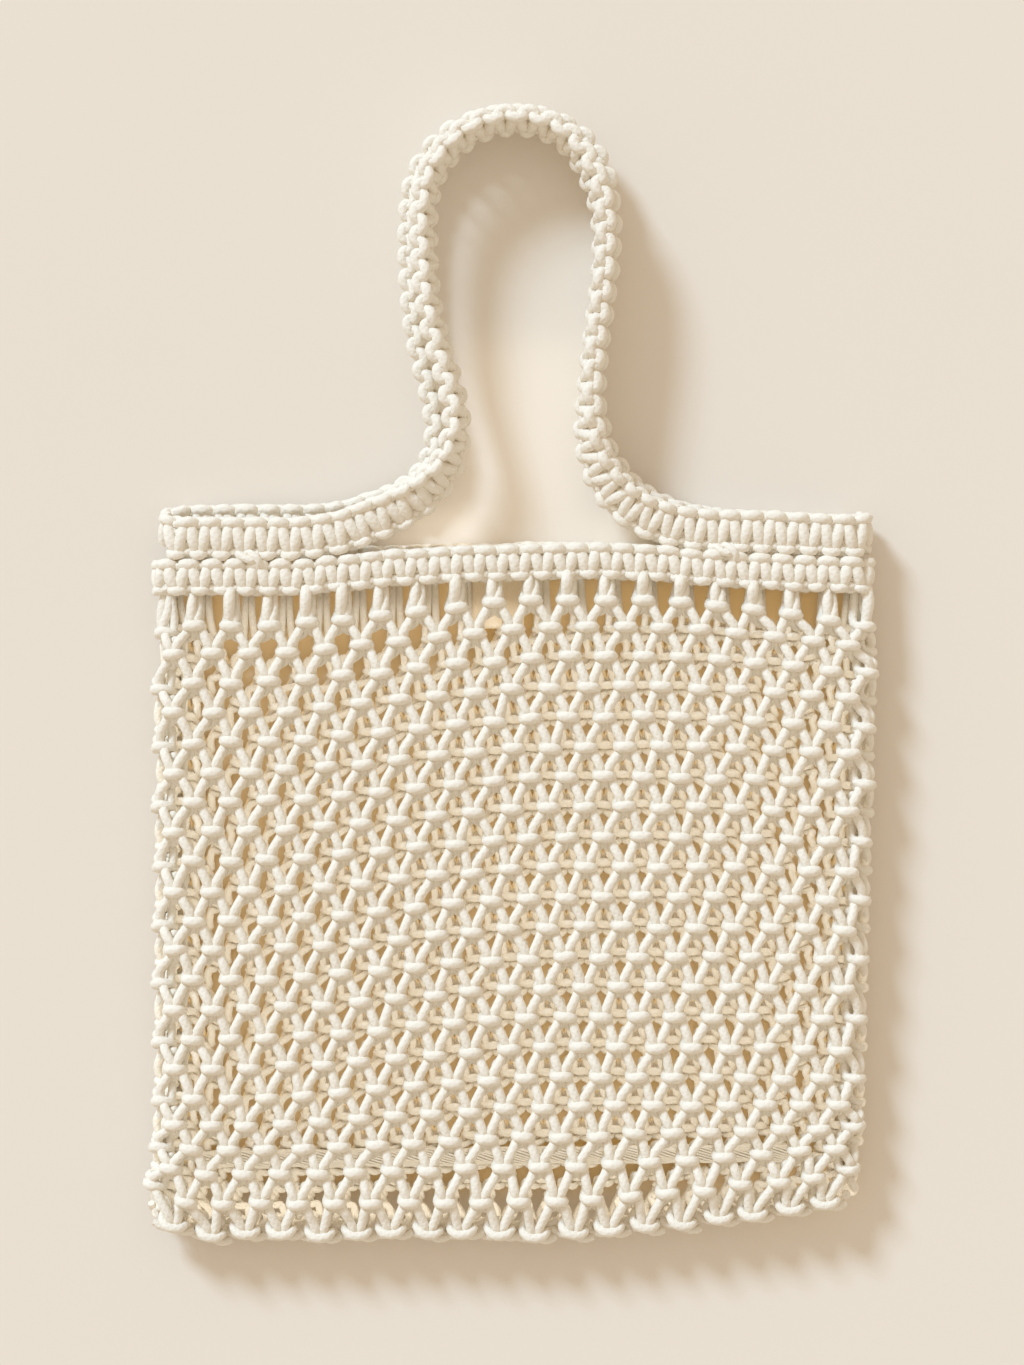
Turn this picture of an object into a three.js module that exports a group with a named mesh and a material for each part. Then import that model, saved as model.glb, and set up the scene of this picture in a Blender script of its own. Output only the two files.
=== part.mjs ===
// Macrame tote bag lying flat on its back: a knotted cotton net pouch, a knotted band round the mouth,
// two carry handles of the same knotted strap, and a plain cloth label inside the mouth.
// Millimetres. X runs to the right, Y toward the handles, Z up from the floor.
import * as THREE from "three";

// Where the middle of the bag's outline lies in the coordinates of the tables below.
const MIDDLE = { x: 0, y: 0.17 };

// Net pouch: outline of the lying bag from the mouth down to the bottom seam.
// follow is the share of the band's curve that a row takes over, lift the share of the seam's curve,
// wall the depth of the knotted net.
const POUCH_ROWS = [
  { y: 45.45, follow: 1.0, lift: 0.0, left: -182.0, right: 183.0, floor: 0.0, top: 29.0, wall: 6.5 },
  { y: 38.0, follow: 0.95, lift: 0.0, left: -182.5, right: 184.0, floor: 0.0, top: 29.5, wall: 8.0 },
  { y: 29.0, follow: 0.9, lift: 0.0, left: -182.0, right: 184.5, floor: 0.0, top: 30.0, wall: 10.0 },
  { y: 2.0, follow: 0.8, lift: 0.0, left: -181.5, right: 184.0, floor: 0.0, top: 31.0, wall: 10.0 },
  { y: -44.0, follow: 0.7, lift: 0.0, left: -181.0, right: 183.0, floor: 0.0, top: 32.0, wall: 10.0 },
  { y: -114.0, follow: 0.5, lift: 0.0, left: -181.5, right: 181.5, floor: 0.0, top: 32.0, wall: 10.0 },
  { y: -184.0, follow: 0.3, lift: 0.1, left: -181.5, right: 179.5, floor: 0.0, top: 31.0, wall: 10.0 },
  { y: -234.0, follow: 0.1, lift: 0.3, left: -183.0, right: 178.0, floor: 0.0, top: 30.0, wall: 10.0 },
  { y: -262.0, follow: 0.0, lift: 0.6, left: -184.5, right: 176.5, floor: 0.0, top: 28.0, wall: 10.0 },
];
// Below the last row the two walls run together into the seam.
const SEAM_ROWS = [
  { y: -277.0, follow: 0.0, lift: 0.85, left: -184.0, right: 175.5, floor: 1.5, top: 24.0 },
  { y: -285.0, follow: 0.0, lift: 1.0, left: -180.0, right: 172.0, floor: 6.0, top: 18.0 },
];
const INNER_END = { y: -265.5, follow: 0.0, lift: 0.6, left: -174.0, right: 166.0, floor: 11.5, top: 16.5 };
// How far the bottom edge rises toward the two corners.
const SEAM_CURVE = [
  { x: -184, y: 12.0 },
  { x: -172, y: 5.0 },
  { x: -160, y: 0.0 },
  { x: 24, y: 0.0 },
  { x: 79, y: 5.0 },
  { x: 129, y: 11.0 },
  { x: 164, y: 15.0 },
  { x: 176, y: 21.0 },
];
const POUCH_ACROSS = 24;
const POUCH_ROUND = 6;

// Mouth band: a flat knotted band standing round the mouth, above the net.
const BAND = { tall: 19.2, thick: 9.4, round: 3.4, frontZ: 24.6, backZ: 4.7, left: -181.6, right: 182.6 };
const BAND_FRONT = [
  { x: -178, y: 47.4 },
  { x: -136, y: 47.4 },
  { x: -106, y: 47.4 },
  { x: -86, y: 49.6 },
  { x: -56, y: 52.4 },
  { x: -16, y: 54.4 },
  { x: 24, y: 55.4 },
  { x: 44, y: 55.8 },
  { x: 69, y: 54.8 },
  { x: 94, y: 52.4 },
  { x: 124, y: 50.6 },
  { x: 149, y: 49.2 },
  { x: 178, y: 48.4 },
];
const BAND_PEAK = 55.8;
const BAND_BACK_RISE = 8.5;
const BAND_STEPS = 44;
const BAND_BEND_STEPS = 8;

// Handle strap: lean is 0 where the strap lies with its face up and 90 where it stands on its edge.
const STRAP = { wide: 19.0, thick: 9.4, round: 3.4, bend: 9.7 };
const FRONT_LEVEL = 24.6;
const BACK_LEVEL = 4.75;
const FRONT_HANDLE = [
  { x: -171, y: 67.5, z: 24.6, lean: 0 },
  { x: -136, y: 67.4, z: 24.6, lean: 0 },
  { x: -106, y: 67.4, z: 24.6, lean: 0 },
  { x: -86, y: 70.0, z: 24.7, lean: 4 },
  { x: -71, y: 75.5, z: 25.0, lean: 10 },
  { x: -56, y: 82.0, z: 25.8, lean: 20 },
  { x: -43.5, y: 90.5, z: 27.0, lean: 34 },
  { x: -33.5, y: 102, z: 28.6, lean: 52 },
  { x: -28.5, y: 116, z: 30.4, lean: 66 },
  { x: -27.5, y: 128.5, z: 31.2, lean: 74 },
  { x: -29.5, y: 143.5, z: 31.4, lean: 77 },
  { x: -35, y: 162, z: 31.4, lean: 78 },
  { x: -40, y: 184, z: 31.4, lean: 78 },
  { x: -42, y: 209, z: 31.4, lean: 78 },
  { x: -42, y: 231, z: 31.4, lean: 76 },
  { x: -38.5, y: 247.5, z: 31.4, lean: 72 },
  { x: -29.5, y: 260.5, z: 31.4, lean: 66 },
  { x: -16, y: 269.5, z: 31.4, lean: 63 },
  { x: 0, y: 272.5, z: 31.4, lean: 62 },
  { x: 17, y: 270, z: 31.4, lean: 63 },
  { x: 29.5, y: 262, z: 31.4, lean: 66 },
  { x: 39.5, y: 248, z: 31.4, lean: 72 },
  { x: 44.5, y: 231, z: 31.4, lean: 76 },
  { x: 45.5, y: 209, z: 31.4, lean: 78 },
  { x: 43, y: 184, z: 31.4, lean: 78 },
  { x: 40, y: 159.5, z: 31.4, lean: 76 },
  { x: 38, y: 135, z: 31.2, lean: 72 },
  { x: 38.5, y: 120, z: 30.6, lean: 66 },
  { x: 43, y: 107, z: 29.0, lean: 54 },
  { x: 51, y: 95, z: 27.4, lean: 38 },
  { x: 64, y: 83.5, z: 26.0, lean: 22 },
  { x: 81.5, y: 76, z: 25.0, lean: 10 },
  { x: 99, y: 73, z: 24.7, lean: 3 },
  { x: 124, y: 71, z: 24.6, lean: 0 },
  { x: 171, y: 69, z: 24.6, lean: 0 },
];
const BACK_HANDLE = [
  { x: -171, y: 69, z: 4.75, lean: 0 },
  { x: -136, y: 73.0, z: 4.75, lean: 0 },
  { x: -106, y: 73.0, z: 4.75, lean: 0 },
  { x: -86, y: 74.5, z: 5.2, lean: 4 },
  { x: -71, y: 79.5, z: 6.1, lean: 10 },
  { x: -56, y: 86, z: 7.5, lean: 20 },
  { x: -45, y: 94, z: 9.0, lean: 34 },
  { x: -38, y: 106, z: 10.2, lean: 52 },
  { x: -36.5, y: 120, z: 10.7, lean: 66 },
  { x: -38.5, y: 133.5, z: 10.7, lean: 74 },
  { x: -43.5, y: 151, z: 10.7, lean: 77 },
  { x: -48, y: 168.5, z: 10.7, lean: 78 },
  { x: -50.5, y: 188.5, z: 10.7, lean: 78 },
  { x: -51.5, y: 211, z: 10.7, lean: 78 },
  { x: -50.5, y: 233.5, z: 10.7, lean: 76 },
  { x: -46, y: 251, z: 10.7, lean: 72 },
  { x: -35, y: 266, z: 10.9, lean: 67 },
  { x: -18, y: 275.5, z: 11.0, lean: 64 },
  { x: 0, y: 278.5, z: 11.0, lean: 64 },
  { x: 19, y: 276, z: 11.0, lean: 65 },
  { x: 35, y: 267, z: 10.9, lean: 67 },
  { x: 45.5, y: 252, z: 10.7, lean: 72 },
  { x: 50, y: 233.5, z: 10.7, lean: 76 },
  { x: 50.5, y: 211, z: 10.7, lean: 78 },
  { x: 47.5, y: 186, z: 10.7, lean: 78 },
  { x: 44, y: 161, z: 10.7, lean: 76 },
  { x: 42, y: 136, z: 10.6, lean: 72 },
  { x: 42.5, y: 121, z: 10.7, lean: 66 },
  { x: 46, y: 108, z: 10.2, lean: 54 },
  { x: 54, y: 96.5, z: 9.3, lean: 38 },
  { x: 67, y: 87, z: 7.7, lean: 22 },
  { x: 83, y: 80, z: 6.1, lean: 10 },
  { x: 99, y: 77, z: 5.2, lean: 3 },
  { x: 124, y: 74.5, z: 4.75, lean: 0 },
  { x: 171, y: 71, z: 4.75, lean: 0 },
];
const STRAP_STEPS = 84;
const STRAP_BEND_STEPS = 7;

// Cloth label: a plain tab sewn to the inner face of the back band and hanging over the net below it.
const LABEL = { left: -20, right: 6, thick: 1.0, corner: 2.0 };
const LABEL_FALL = [
  { y: 60.0, z: 10.3 },
  { y: 50.0, z: 10.3 },
  { y: 44.0, z: 10.5 },
  { y: 36.0, z: 11.3 },
  { y: 28.0, z: 12.0 },
  { y: 22.0, z: 12.2 },
];

const COTTON = { color: 0xf1ece0, roughness: 0.95 };
const COTTON_SHADE = { color: 0xeae2d1, roughness: 0.95 };
const LABEL_CLOTH = { color: 0xe6cfae, roughness: 0.9 };

// Triangulates a stack of equal rings, each a closed loop of points; the two ends are closed by fans.
function loft(rings, openEnds) {
  const count = rings[0].length;
  const points = rings.flat();
  const faces = [];
  for (let r = 0; r + 1 < rings.length; r += 1) {
    for (let k = 0; k < count; k += 1) {
      const next = (k + 1) % count;
      const a = r * count + k;
      const b = r * count + next;
      const c = (r + 1) * count + next;
      const d = (r + 1) * count + k;
      faces.push(a, b, c, a, c, d);
    }
  }
  if (!openEnds) {
    const last = (rings.length - 1) * count;
    const first = points.length;
    points.push(centre(rings[0]), centre(rings[rings.length - 1]));
    for (let k = 0; k < count; k += 1) {
      const next = (k + 1) % count;
      faces.push(first, next, k);
      faces.push(first + 1, last + k, last + next);
    }
  }
  const flat = [];
  for (const p of points) {
    flat.push(p.x - MIDDLE.x, p.y - MIDDLE.y, p.z);
  }
  const geometry = new THREE.BufferGeometry();
  geometry.setAttribute("position", new THREE.Float32BufferAttribute(flat, 3));
  geometry.setIndex(faces);
  geometry.computeVertexNormals();
  return geometry;
}

function centre(ring) {
  const sum = new THREE.Vector3();
  for (const p of ring) {
    sum.add(p);
  }
  return sum.divideScalar(ring.length);
}

// One row of the flattened tube: the front wall on top, the side folds rounded, the back wall on the floor.
function pouchRing(row, inset) {
  const left = row.left + inset;
  const right = row.right - inset;
  const floor = row.floor + inset;
  const top = row.top - inset;
  const radius = (top - floor) / 2;
  const height = (floor + top) / 2;
  const ring = [];
  const add = (x, z) => {
    const front = THREE.MathUtils.smoothstep((z - row.floor) / (row.top - row.floor), 0.38, 0.62);
    const band = THREE.MathUtils.lerp(bandBackHeight(x), bandFrontHeight(x), front);
    const y = row.y + row.follow * (band - BAND_PEAK) + row.lift * tableHeight(SEAM_CURVE, x);
    ring.push(new THREE.Vector3(x, y, z));
  };
  for (let k = 0; k <= POUCH_ACROSS; k += 1) {
    add(THREE.MathUtils.lerp(left + radius, right - radius, k / POUCH_ACROSS), top);
  }
  for (let k = 1; k < POUCH_ROUND; k += 1) {
    const turn = Math.PI * (0.5 - k / POUCH_ROUND);
    add(right - radius + radius * Math.cos(turn), height + radius * Math.sin(turn));
  }
  for (let k = 0; k <= POUCH_ACROSS; k += 1) {
    add(THREE.MathUtils.lerp(right - radius, left + radius, k / POUCH_ACROSS), floor);
  }
  for (let k = 1; k < POUCH_ROUND; k += 1) {
    const turn = Math.PI * (1.5 - k / POUCH_ROUND);
    add(left + radius + radius * Math.cos(turn), height + radius * Math.sin(turn));
  }
  return ring;
}

// Outside from the seam up to the mouth, over the rim, and down the inside to the end of the hollow.
function netPouch() {
  const rings = [];
  for (const row of [...SEAM_ROWS].reverse()) {
    rings.push(pouchRing(row, 0));
  }
  for (const row of [...POUCH_ROWS].reverse()) {
    rings.push(pouchRing(row, 0));
  }
  for (const row of POUCH_ROWS) {
    rings.push(pouchRing(row, row.wall));
  }
  rings.push(pouchRing(INNER_END, 0));
  return loft(rings, false);
}

// Rounded flat profile of the knotted strap as [across, through] pairs.
function strapProfile(wide, thick, round) {
  const a = wide / 2;
  const b = thick / 2;
  const corner = new THREE.Shape();
  corner.moveTo(a, -b + round);
  corner.lineTo(a, b - round);
  corner.quadraticCurveTo(a, b, a - round, b);
  corner.lineTo(-a + round, b);
  corner.quadraticCurveTo(-a, b, -a, b - round);
  corner.lineTo(-a, -b + round);
  corner.quadraticCurveTo(-a, -b, -a + round, -b);
  corner.lineTo(a - round, -b);
  corner.quadraticCurveTo(a, -b, a, -b + round);
  const points = corner.getPoints(1);
  return points.slice(0, -1);
}

// Sets the profile square to the path: wide is the strap's width, out its face.
function strapRing(profile, at, along, wideHint) {
  const out = new THREE.Vector3().crossVectors(along, wideHint).normalize();
  const wide = new THREE.Vector3().crossVectors(out, along).normalize();
  return profile.map((p) => at.clone().addScaledVector(wide, p.x).addScaledVector(out, p.y));
}

// Quarter turn of the strap round a side fold, from the middle of the side up (or down) to its face.
function sideBend(x, y, level, side, upper) {
  const radius = STRAP.bend;
  const stations = [];
  const way = upper ? 1 : -1;
  for (let k = 0; k < STRAP_BEND_STEPS; k += 1) {
    const turn = (Math.PI / 2) * (k / STRAP_BEND_STEPS);
    const px = x + side * radius * Math.cos(turn);
    const pz = level - way * radius * (1 - Math.sin(turn));
    const along = new THREE.Vector3(-side * Math.sin(turn), 0, way * Math.cos(turn));
    stations.push({ at: new THREE.Vector3(px, y, pz), along });
  }
  return stations;
}

function handle(table, level, upper) {
  const profile = strapProfile(STRAP.wide, STRAP.thick, STRAP.round);
  const path = new THREE.CatmullRomCurve3(
    table.map((p) => new THREE.Vector3(p.x, p.y, p.z)),
    false,
    "centripetal",
  );
  const up = new THREE.Vector3(0, 1, 0);
  const rise = new THREE.Vector3(0, 0, 1);
  const rings = [];
  const first = table[0];
  const last = table[table.length - 1];
  for (const s of sideBend(first.x, first.y, level, -1, upper)) {
    rings.push(strapRing(profile, s.at, s.along, up));
  }
  for (let k = 0; k <= STRAP_STEPS; k += 1) {
    const t = k / STRAP_STEPS;
    const at = path.getPoint(t);
    const along = path.getTangent(t);
    const place = t * (table.length - 1);
    const low = Math.min(Math.floor(place), table.length - 2);
    const lean = THREE.MathUtils.lerp(table[low].lean, table[low + 1].lean, place - low);
    const angle = THREE.MathUtils.degToRad(lean);
    const aside = new THREE.Vector3().crossVectors(rise, along).normalize();
    const wide = aside.multiplyScalar(Math.cos(angle)).addScaledVector(rise, Math.sin(angle));
    rings.push(strapRing(profile, at, along, wide));
  }
  for (const s of sideBend(last.x, last.y, level, 1, upper).reverse()) {
    rings.push(strapRing(profile, s.at, s.along.clone().negate(), up));
  }
  return loft(rings, false);
}

// Height read off a table of x and y, eased between its rows and level beyond its ends.
function tableHeight(table, x) {
  for (let k = 0; k + 1 < table.length; k += 1) {
    const a = table[k];
    const b = table[k + 1];
    if (x <= b.x) {
      const t = THREE.MathUtils.clamp((x - a.x) / (b.x - a.x), 0, 1);
      return THREE.MathUtils.lerp(a.y, b.y, t * t * (3 - 2 * t));
    }
  }
  return table[table.length - 1].y;
}

function bandFrontHeight(x) {
  return tableHeight(BAND_FRONT, x);
}

function bandBackHeight(x) {
  const side = THREE.MathUtils.clamp(x / 178, -1, 1);
  const ends = side < 0 ? BAND_FRONT[0].y : BAND_FRONT[BAND_FRONT.length - 1].y;
  return ends + BAND_BACK_RISE * (1 - side * side);
}

// The band's ring: along the front, round the right fold, back along the floor and round the left fold.
function mouthBand() {
  const profile = strapProfile(BAND.tall, BAND.thick, BAND.round);
  const radius = (BAND.frontZ - BAND.backZ) / 2;
  const height = (BAND.frontZ + BAND.backZ) / 2;
  const leftX = BAND.left + BAND.thick / 2 + radius;
  const rightX = BAND.right - BAND.thick / 2 - radius;
  const stations = [];
  for (let k = 0; k <= BAND_STEPS; k += 1) {
    const x = THREE.MathUtils.lerp(leftX, rightX, k / BAND_STEPS);
    stations.push(new THREE.Vector3(x, bandFrontHeight(x), BAND.frontZ));
  }
  for (let k = 1; k < BAND_BEND_STEPS; k += 1) {
    const turn = Math.PI * (0.5 - k / BAND_BEND_STEPS);
    const x = rightX + radius * Math.cos(turn);
    stations.push(new THREE.Vector3(x, bandFrontHeight(x), height + radius * Math.sin(turn)));
  }
  for (let k = 0; k <= BAND_STEPS; k += 1) {
    const x = THREE.MathUtils.lerp(rightX, leftX, k / BAND_STEPS);
    stations.push(new THREE.Vector3(x, bandBackHeight(x), BAND.backZ));
  }
  for (let k = 1; k < BAND_BEND_STEPS; k += 1) {
    const turn = Math.PI * (1.5 - k / BAND_BEND_STEPS);
    const x = leftX + radius * Math.cos(turn);
    stations.push(new THREE.Vector3(x, bandFrontHeight(x), height + radius * Math.sin(turn)));
  }
  const up = new THREE.Vector3(0, 1, 0);
  const rings = stations.map((at, k) => {
    const before = stations[(k + stations.length - 1) % stations.length];
    const after = stations[(k + 1) % stations.length];
    const along = after.clone().sub(before);
    along.y = 0;
    return strapRing(profile, at, along.normalize(), up);
  });
  rings.push(rings[0].map((p) => p.clone()));
  return loft(rings, true);
}

function innerLabel() {
  const rings = LABEL_FALL.map((row, k) => {
    const end = k === 0 || k === LABEL_FALL.length - 1;
    const trim = end ? LABEL.corner * 0.5 : 0;
    return [
      new THREE.Vector3(LABEL.left + trim, row.y, row.z),
      new THREE.Vector3(LABEL.right - trim, row.y, row.z),
      new THREE.Vector3(LABEL.right - trim, row.y, row.z + LABEL.thick),
      new THREE.Vector3(LABEL.left + trim, row.y, row.z + LABEL.thick),
    ];
  });
  return loft(rings, false);
}

// Turns the faces outward if the rings were wound the other way.
function outward(geometry) {
  const p = geometry.getAttribute("position");
  const index = geometry.getIndex();
  const a = new THREE.Vector3();
  const b = new THREE.Vector3();
  const c = new THREE.Vector3();
  let volume = 0;
  for (let k = 0; k < index.count; k += 3) {
    a.fromBufferAttribute(p, index.getX(k));
    b.fromBufferAttribute(p, index.getX(k + 1));
    c.fromBufferAttribute(p, index.getX(k + 2));
    volume += a.dot(b.cross(c));
  }
  if (volume < 0) {
    const turned = [];
    for (let k = 0; k < index.count; k += 3) {
      turned.push(index.getX(k), index.getX(k + 2), index.getX(k + 1));
    }
    geometry.setIndex(turned);
    geometry.computeVertexNormals();
  }
  return geometry;
}

function piece(name, geometry, look) {
  const material = new THREE.MeshStandardMaterial({
    color: look.color,
    roughness: look.roughness,
    metalness: 0,
  });
  const mesh = new THREE.Mesh(outward(geometry), material);
  mesh.name = name;
  return mesh;
}

const bag = new THREE.Group();
bag.name = "macrame_tote_bag";
bag.add(piece("net_pouch", netPouch(), COTTON_SHADE));
bag.add(piece("mouth_band", mouthBand(), COTTON));
bag.add(piece("front_handle", handle(FRONT_HANDLE, FRONT_LEVEL, true), COTTON));
bag.add(piece("back_handle", handle(BACK_HANDLE, BACK_LEVEL, false), COTTON));
bag.add(piece("inner_label", innerLabel(), LABEL_CLOTH));

export default bag;
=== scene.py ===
"""Look of a macrame tote bag that lies flat on its back on a pale floor.

Sizes are in millimetres in the bag's table coordinates and become metres when a mesh is made.
X runs to the right, Y toward the handles and Z up from the floor.
"""
import logging
import math
from collections.abc import Iterable
from collections.abc import Sequence
from dataclasses import dataclass
from dataclasses import field
from enum import Enum

import bpy
import numpy as np
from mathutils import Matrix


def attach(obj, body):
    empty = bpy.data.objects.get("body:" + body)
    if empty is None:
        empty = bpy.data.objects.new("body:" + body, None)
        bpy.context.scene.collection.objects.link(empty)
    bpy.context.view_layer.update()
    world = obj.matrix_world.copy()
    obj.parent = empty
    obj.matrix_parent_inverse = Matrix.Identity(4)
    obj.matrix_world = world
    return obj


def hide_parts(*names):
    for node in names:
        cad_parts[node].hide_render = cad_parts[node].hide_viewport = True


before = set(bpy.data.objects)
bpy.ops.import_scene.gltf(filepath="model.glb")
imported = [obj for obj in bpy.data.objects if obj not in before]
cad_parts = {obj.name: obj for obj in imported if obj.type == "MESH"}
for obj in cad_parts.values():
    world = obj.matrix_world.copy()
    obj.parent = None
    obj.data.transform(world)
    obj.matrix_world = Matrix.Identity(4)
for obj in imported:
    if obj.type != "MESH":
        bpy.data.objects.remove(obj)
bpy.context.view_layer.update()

LOG = logging.getLogger("tote_bag")

Colour = tuple[float, float, float]

# Middle of the bag's outline in table coordinates.
MIDDLE = np.array([0.0, 0.17, 0.0])
MILLIMETRE = 0.001
UP = np.array([0.0, 0.0, 1.0])
RIGHT_ANGLE = 90.0
BODY = "root"
# Where a point of cord lies: how far along the cord, how far round it, and both as one place.
LAY_LENGTH = "lay_length"
LAY_TURN = "lay_turn"
CORD_LAY = "cord_lay"
# Steps of a fine curve from one point to the next, the shortest step that counts and the fewest rings.
FINE_STEPS = 6
SHORTEST = 1e-6
FEWEST_RINGS = 4

# Outline of the net from the mouth to the bottom edge: y, left, right, floor, top.
POUCH_ROWS = np.array([
    (45.5, -182.0, 183.0, 0.0, 29.0),
    (29.0, -182.0, 184.5, 0.0, 30.0),
    (2.0, -181.5, 184.0, 0.0, 31.0),
    (-44.0, -181.0, 183.0, 0.0, 32.0),
    (-114.0, -181.5, 181.5, 0.0, 32.0),
    (-184.0, -181.5, 179.5, 0.0, 31.0),
    (-234.0, -183.0, 178.0, 0.0, 30.0),
    (-262.0, -186.0, 176.5, 0.0, 30.0),
    (-272.0, -186.0, 175.9, 2.2, 28.4),
    (-281.0, -185.0, 174.8, 5.3, 26.2),
    (-288.0, -183.0, 173.0, 6.0, 25.5),
])
# How far the bottom edge rises toward the two corners: x, rise.
SEAM_CURVE = np.array([
    (-184.0, 12.0),
    (-172.0, 5.0),
    (-160.0, 0.0),
    (24.0, 0.0),
    (79.0, 5.0),
    (129.0, 11.0),
    (164.0, 15.0),
    (176.0, 21.0),
])
# Middle line of the band across the front: x, y.
BAND_FRONT = np.array([
    (-178.0, 47.4),
    (-136.0, 47.4),
    (-106.0, 47.4),
    (-86.0, 49.6),
    (-56.0, 52.4),
    (-16.0, 54.4),
    (24.0, 55.4),
    (44.0, 55.8),
    (69.0, 54.8),
    (94.0, 52.4),
    (124.0, 50.6),
    (149.0, 49.2),
    (178.0, 48.4),
])
# Handle straps: x, y, z, lean in degrees (0 lies with its face up, 90 stands on its edge).
FRONT_HANDLE = np.array([
    (-164.0, 66.9, 24.6, 0.0),
    (-136.0, 66.7, 24.6, 0.0),
    (-106.0, 66.9, 24.6, 0.0),
    (-86.0, 70.0, 24.7, 4.0),
    (-71.0, 75.5, 25.0, 10.0),
    (-56.0, 82.0, 25.8, 20.0),
    (-43.5, 90.5, 27.0, 34.0),
    (-33.5, 102.0, 28.6, 52.0),
    (-28.5, 116.0, 30.4, 66.0),
    (-27.5, 128.5, 31.2, 70.0),
    (-30.6, 143.5, 31.4, 72.0),
    (-36.4, 162.0, 31.4, 73.0),
    (-41.5, 184.0, 31.4, 73.0),
    (-43.6, 209.0, 31.4, 72.0),
    (-43.6, 231.0, 31.4, 71.0),
    (-39.8, 248.6, 30.8, 70.0),
    (-29.9, 262.7, 29.8, 70.0),
    (-16.0, 272.3, 29.0, 71.0),
    (0.0, 275.5, 28.8, 71.0),
    (17.0, 272.8, 29.0, 71.0),
    (29.5, 264.1, 29.8, 72.0),
    (39.5, 248.0, 31.2, 74.0),
    (44.5, 231.0, 31.4, 78.0),
    (45.5, 209.0, 31.4, 82.0),
    (43.0, 184.0, 31.4, 82.0),
    (40.0, 159.5, 31.4, 80.0),
    (38.0, 135.0, 31.2, 75.0),
    (38.5, 120.0, 30.6, 62.0),
    (42.0, 106.0, 29.0, 50.0),
    (49.0, 93.5, 27.4, 36.0),
    (60.5, 82.0, 26.0, 22.0),
    (77.0, 74.4, 25.0, 10.0),
    (97.0, 71.0, 24.7, 3.0),
    (124.0, 70.1, 24.6, 0.0),
    (167.5, 68.0, 24.6, 0.0),
])
BACK_HANDLE = np.array([
    (-164.0, 73.6, 5.7, 0.0),
    (-148.0, 73.9, 7.0, 0.0),
    (-132.0, 74.1, 9.0, 0.0),
    (-106.0, 73.9, 9.4, 0.0),
    (-86.0, 75.7, 9.4, 4.0),
    (-71.0, 80.1, 9.5, 10.0),
    (-56.0, 86.0, 9.8, 20.0),
    (-45.0, 94.0, 10.2, 34.0),
    (-38.0, 106.0, 10.2, 52.0),
    (-36.5, 120.0, 11.1, 66.0),
    (-38.5, 133.5, 11.1, 74.0),
    (-43.1, 151.0, 11.1, 77.0),
    (-47.5, 168.5, 11.1, 78.0),
    (-50.0, 188.5, 11.1, 78.0),
    (-51.0, 211.0, 11.1, 78.0),
    (-50.2, 233.5, 11.1, 76.0),
    (-46.0, 251.0, 11.1, 72.0),
    (-35.0, 266.8, 11.4, 76.0),
    (-18.0, 276.4, 11.8, 80.0),
    (0.0, 279.4, 11.9, 81.0),
    (19.0, 276.8, 11.8, 80.0),
    (34.5, 267.8, 11.4, 76.0),
    (44.6, 252.0, 11.1, 75.0),
    (48.6, 233.5, 11.1, 80.0),
    (48.9, 211.0, 11.1, 82.0),
    (45.9, 186.0, 11.1, 82.0),
    (42.5, 161.0, 11.1, 80.0),
    (40.8, 136.0, 11.1, 76.0),
    (42.5, 121.0, 11.1, 66.0),
    (46.0, 108.0, 11.1, 54.0),
    (53.0, 95.5, 9.9, 38.0),
    (65.0, 84.5, 8.4, 22.0),
    (81.0, 76.8, 7.0, 10.0),
    (99.0, 73.0, 6.1, 3.0),
    (124.0, 70.8, 5.7, 0.0),
    (167.5, 68.6, 5.7, 0.0),
])
# Fall of the label from the band: y, z.
LABEL_FALL = np.array([
    (60.0, 10.8),
    (50.0, 10.8),
    (44.0, 11.0),
    (36.0, 11.8),
    (28.0, 12.5),
    (22.0, 12.7),
])
# How far the middle of the back of the band rises above its ends.
BACK_BAND_RISE = 8.5
# Height of the middle of a strap that lies on the front wall or on the back wall.
FRONT_LEVEL = 24.6
BACK_LEVEL = 5.7


def ease(share: float) -> float:
    """Return a share from 0 to 1 with a soft start and a soft end."""
    held = min(max(share, 0.0), 1.0)
    return held * held * (3.0 - 2.0 * held)


def eased_over(value: float, stretch: tuple[float, float]) -> float:
    """Return the eased share of a stretch, given by its start and its length, that a value has passed."""
    return ease((value - stretch[0]) / stretch[1])


def eased_height(table: np.ndarray, x: float) -> float:
    """Read a height off a table, eased between its rows and level beyond its ends.

    Args:
        table: Rows of x and height, in order of x.
        x: Where to read it.

    Returns:
        The height at x.
    """
    row = int(np.clip(np.searchsorted(table[:, 0], x) - 1, 0, len(table) - 2))
    low, high = table[row], table[row + 1]
    return float(low[1] + (high[1] - low[1]) * ease((x - low[0]) / (high[0] - low[0])))


def band_height(x: float, front: bool) -> float:
    """Return the height of the band's middle line.

    Args:
        x: Place across the bag.
        front: True on the front wall, False on the back wall.

    Returns:
        The y of the middle line at x.
    """
    if front:
        return eased_height(BAND_FRONT, x)
    side = float(np.clip(x / BAND_FRONT[-1, 0], -1.0, 1.0))
    ends = BAND_FRONT[0, 1] if side < 0.0 else BAND_FRONT[-1, 1]
    return float(ends + BACK_BAND_RISE * (1.0 - side * side))


def unit(vector: np.ndarray) -> np.ndarray:
    """Return the vectors at length one."""
    return vector / np.linalg.norm(vector, axis=-1, keepdims=True)


def walked(points: np.ndarray) -> np.ndarray:
    """Return how far along a line of points each of them lies."""
    legs = np.linalg.norm(np.diff(points, axis=0), axis=1)
    return np.concatenate([[0.0], np.cumsum(legs)])


def in_metres(points: np.ndarray) -> np.ndarray:
    """Return table points in the bag's own frame, in metres."""
    return (points - MIDDLE) * MILLIMETRE


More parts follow.
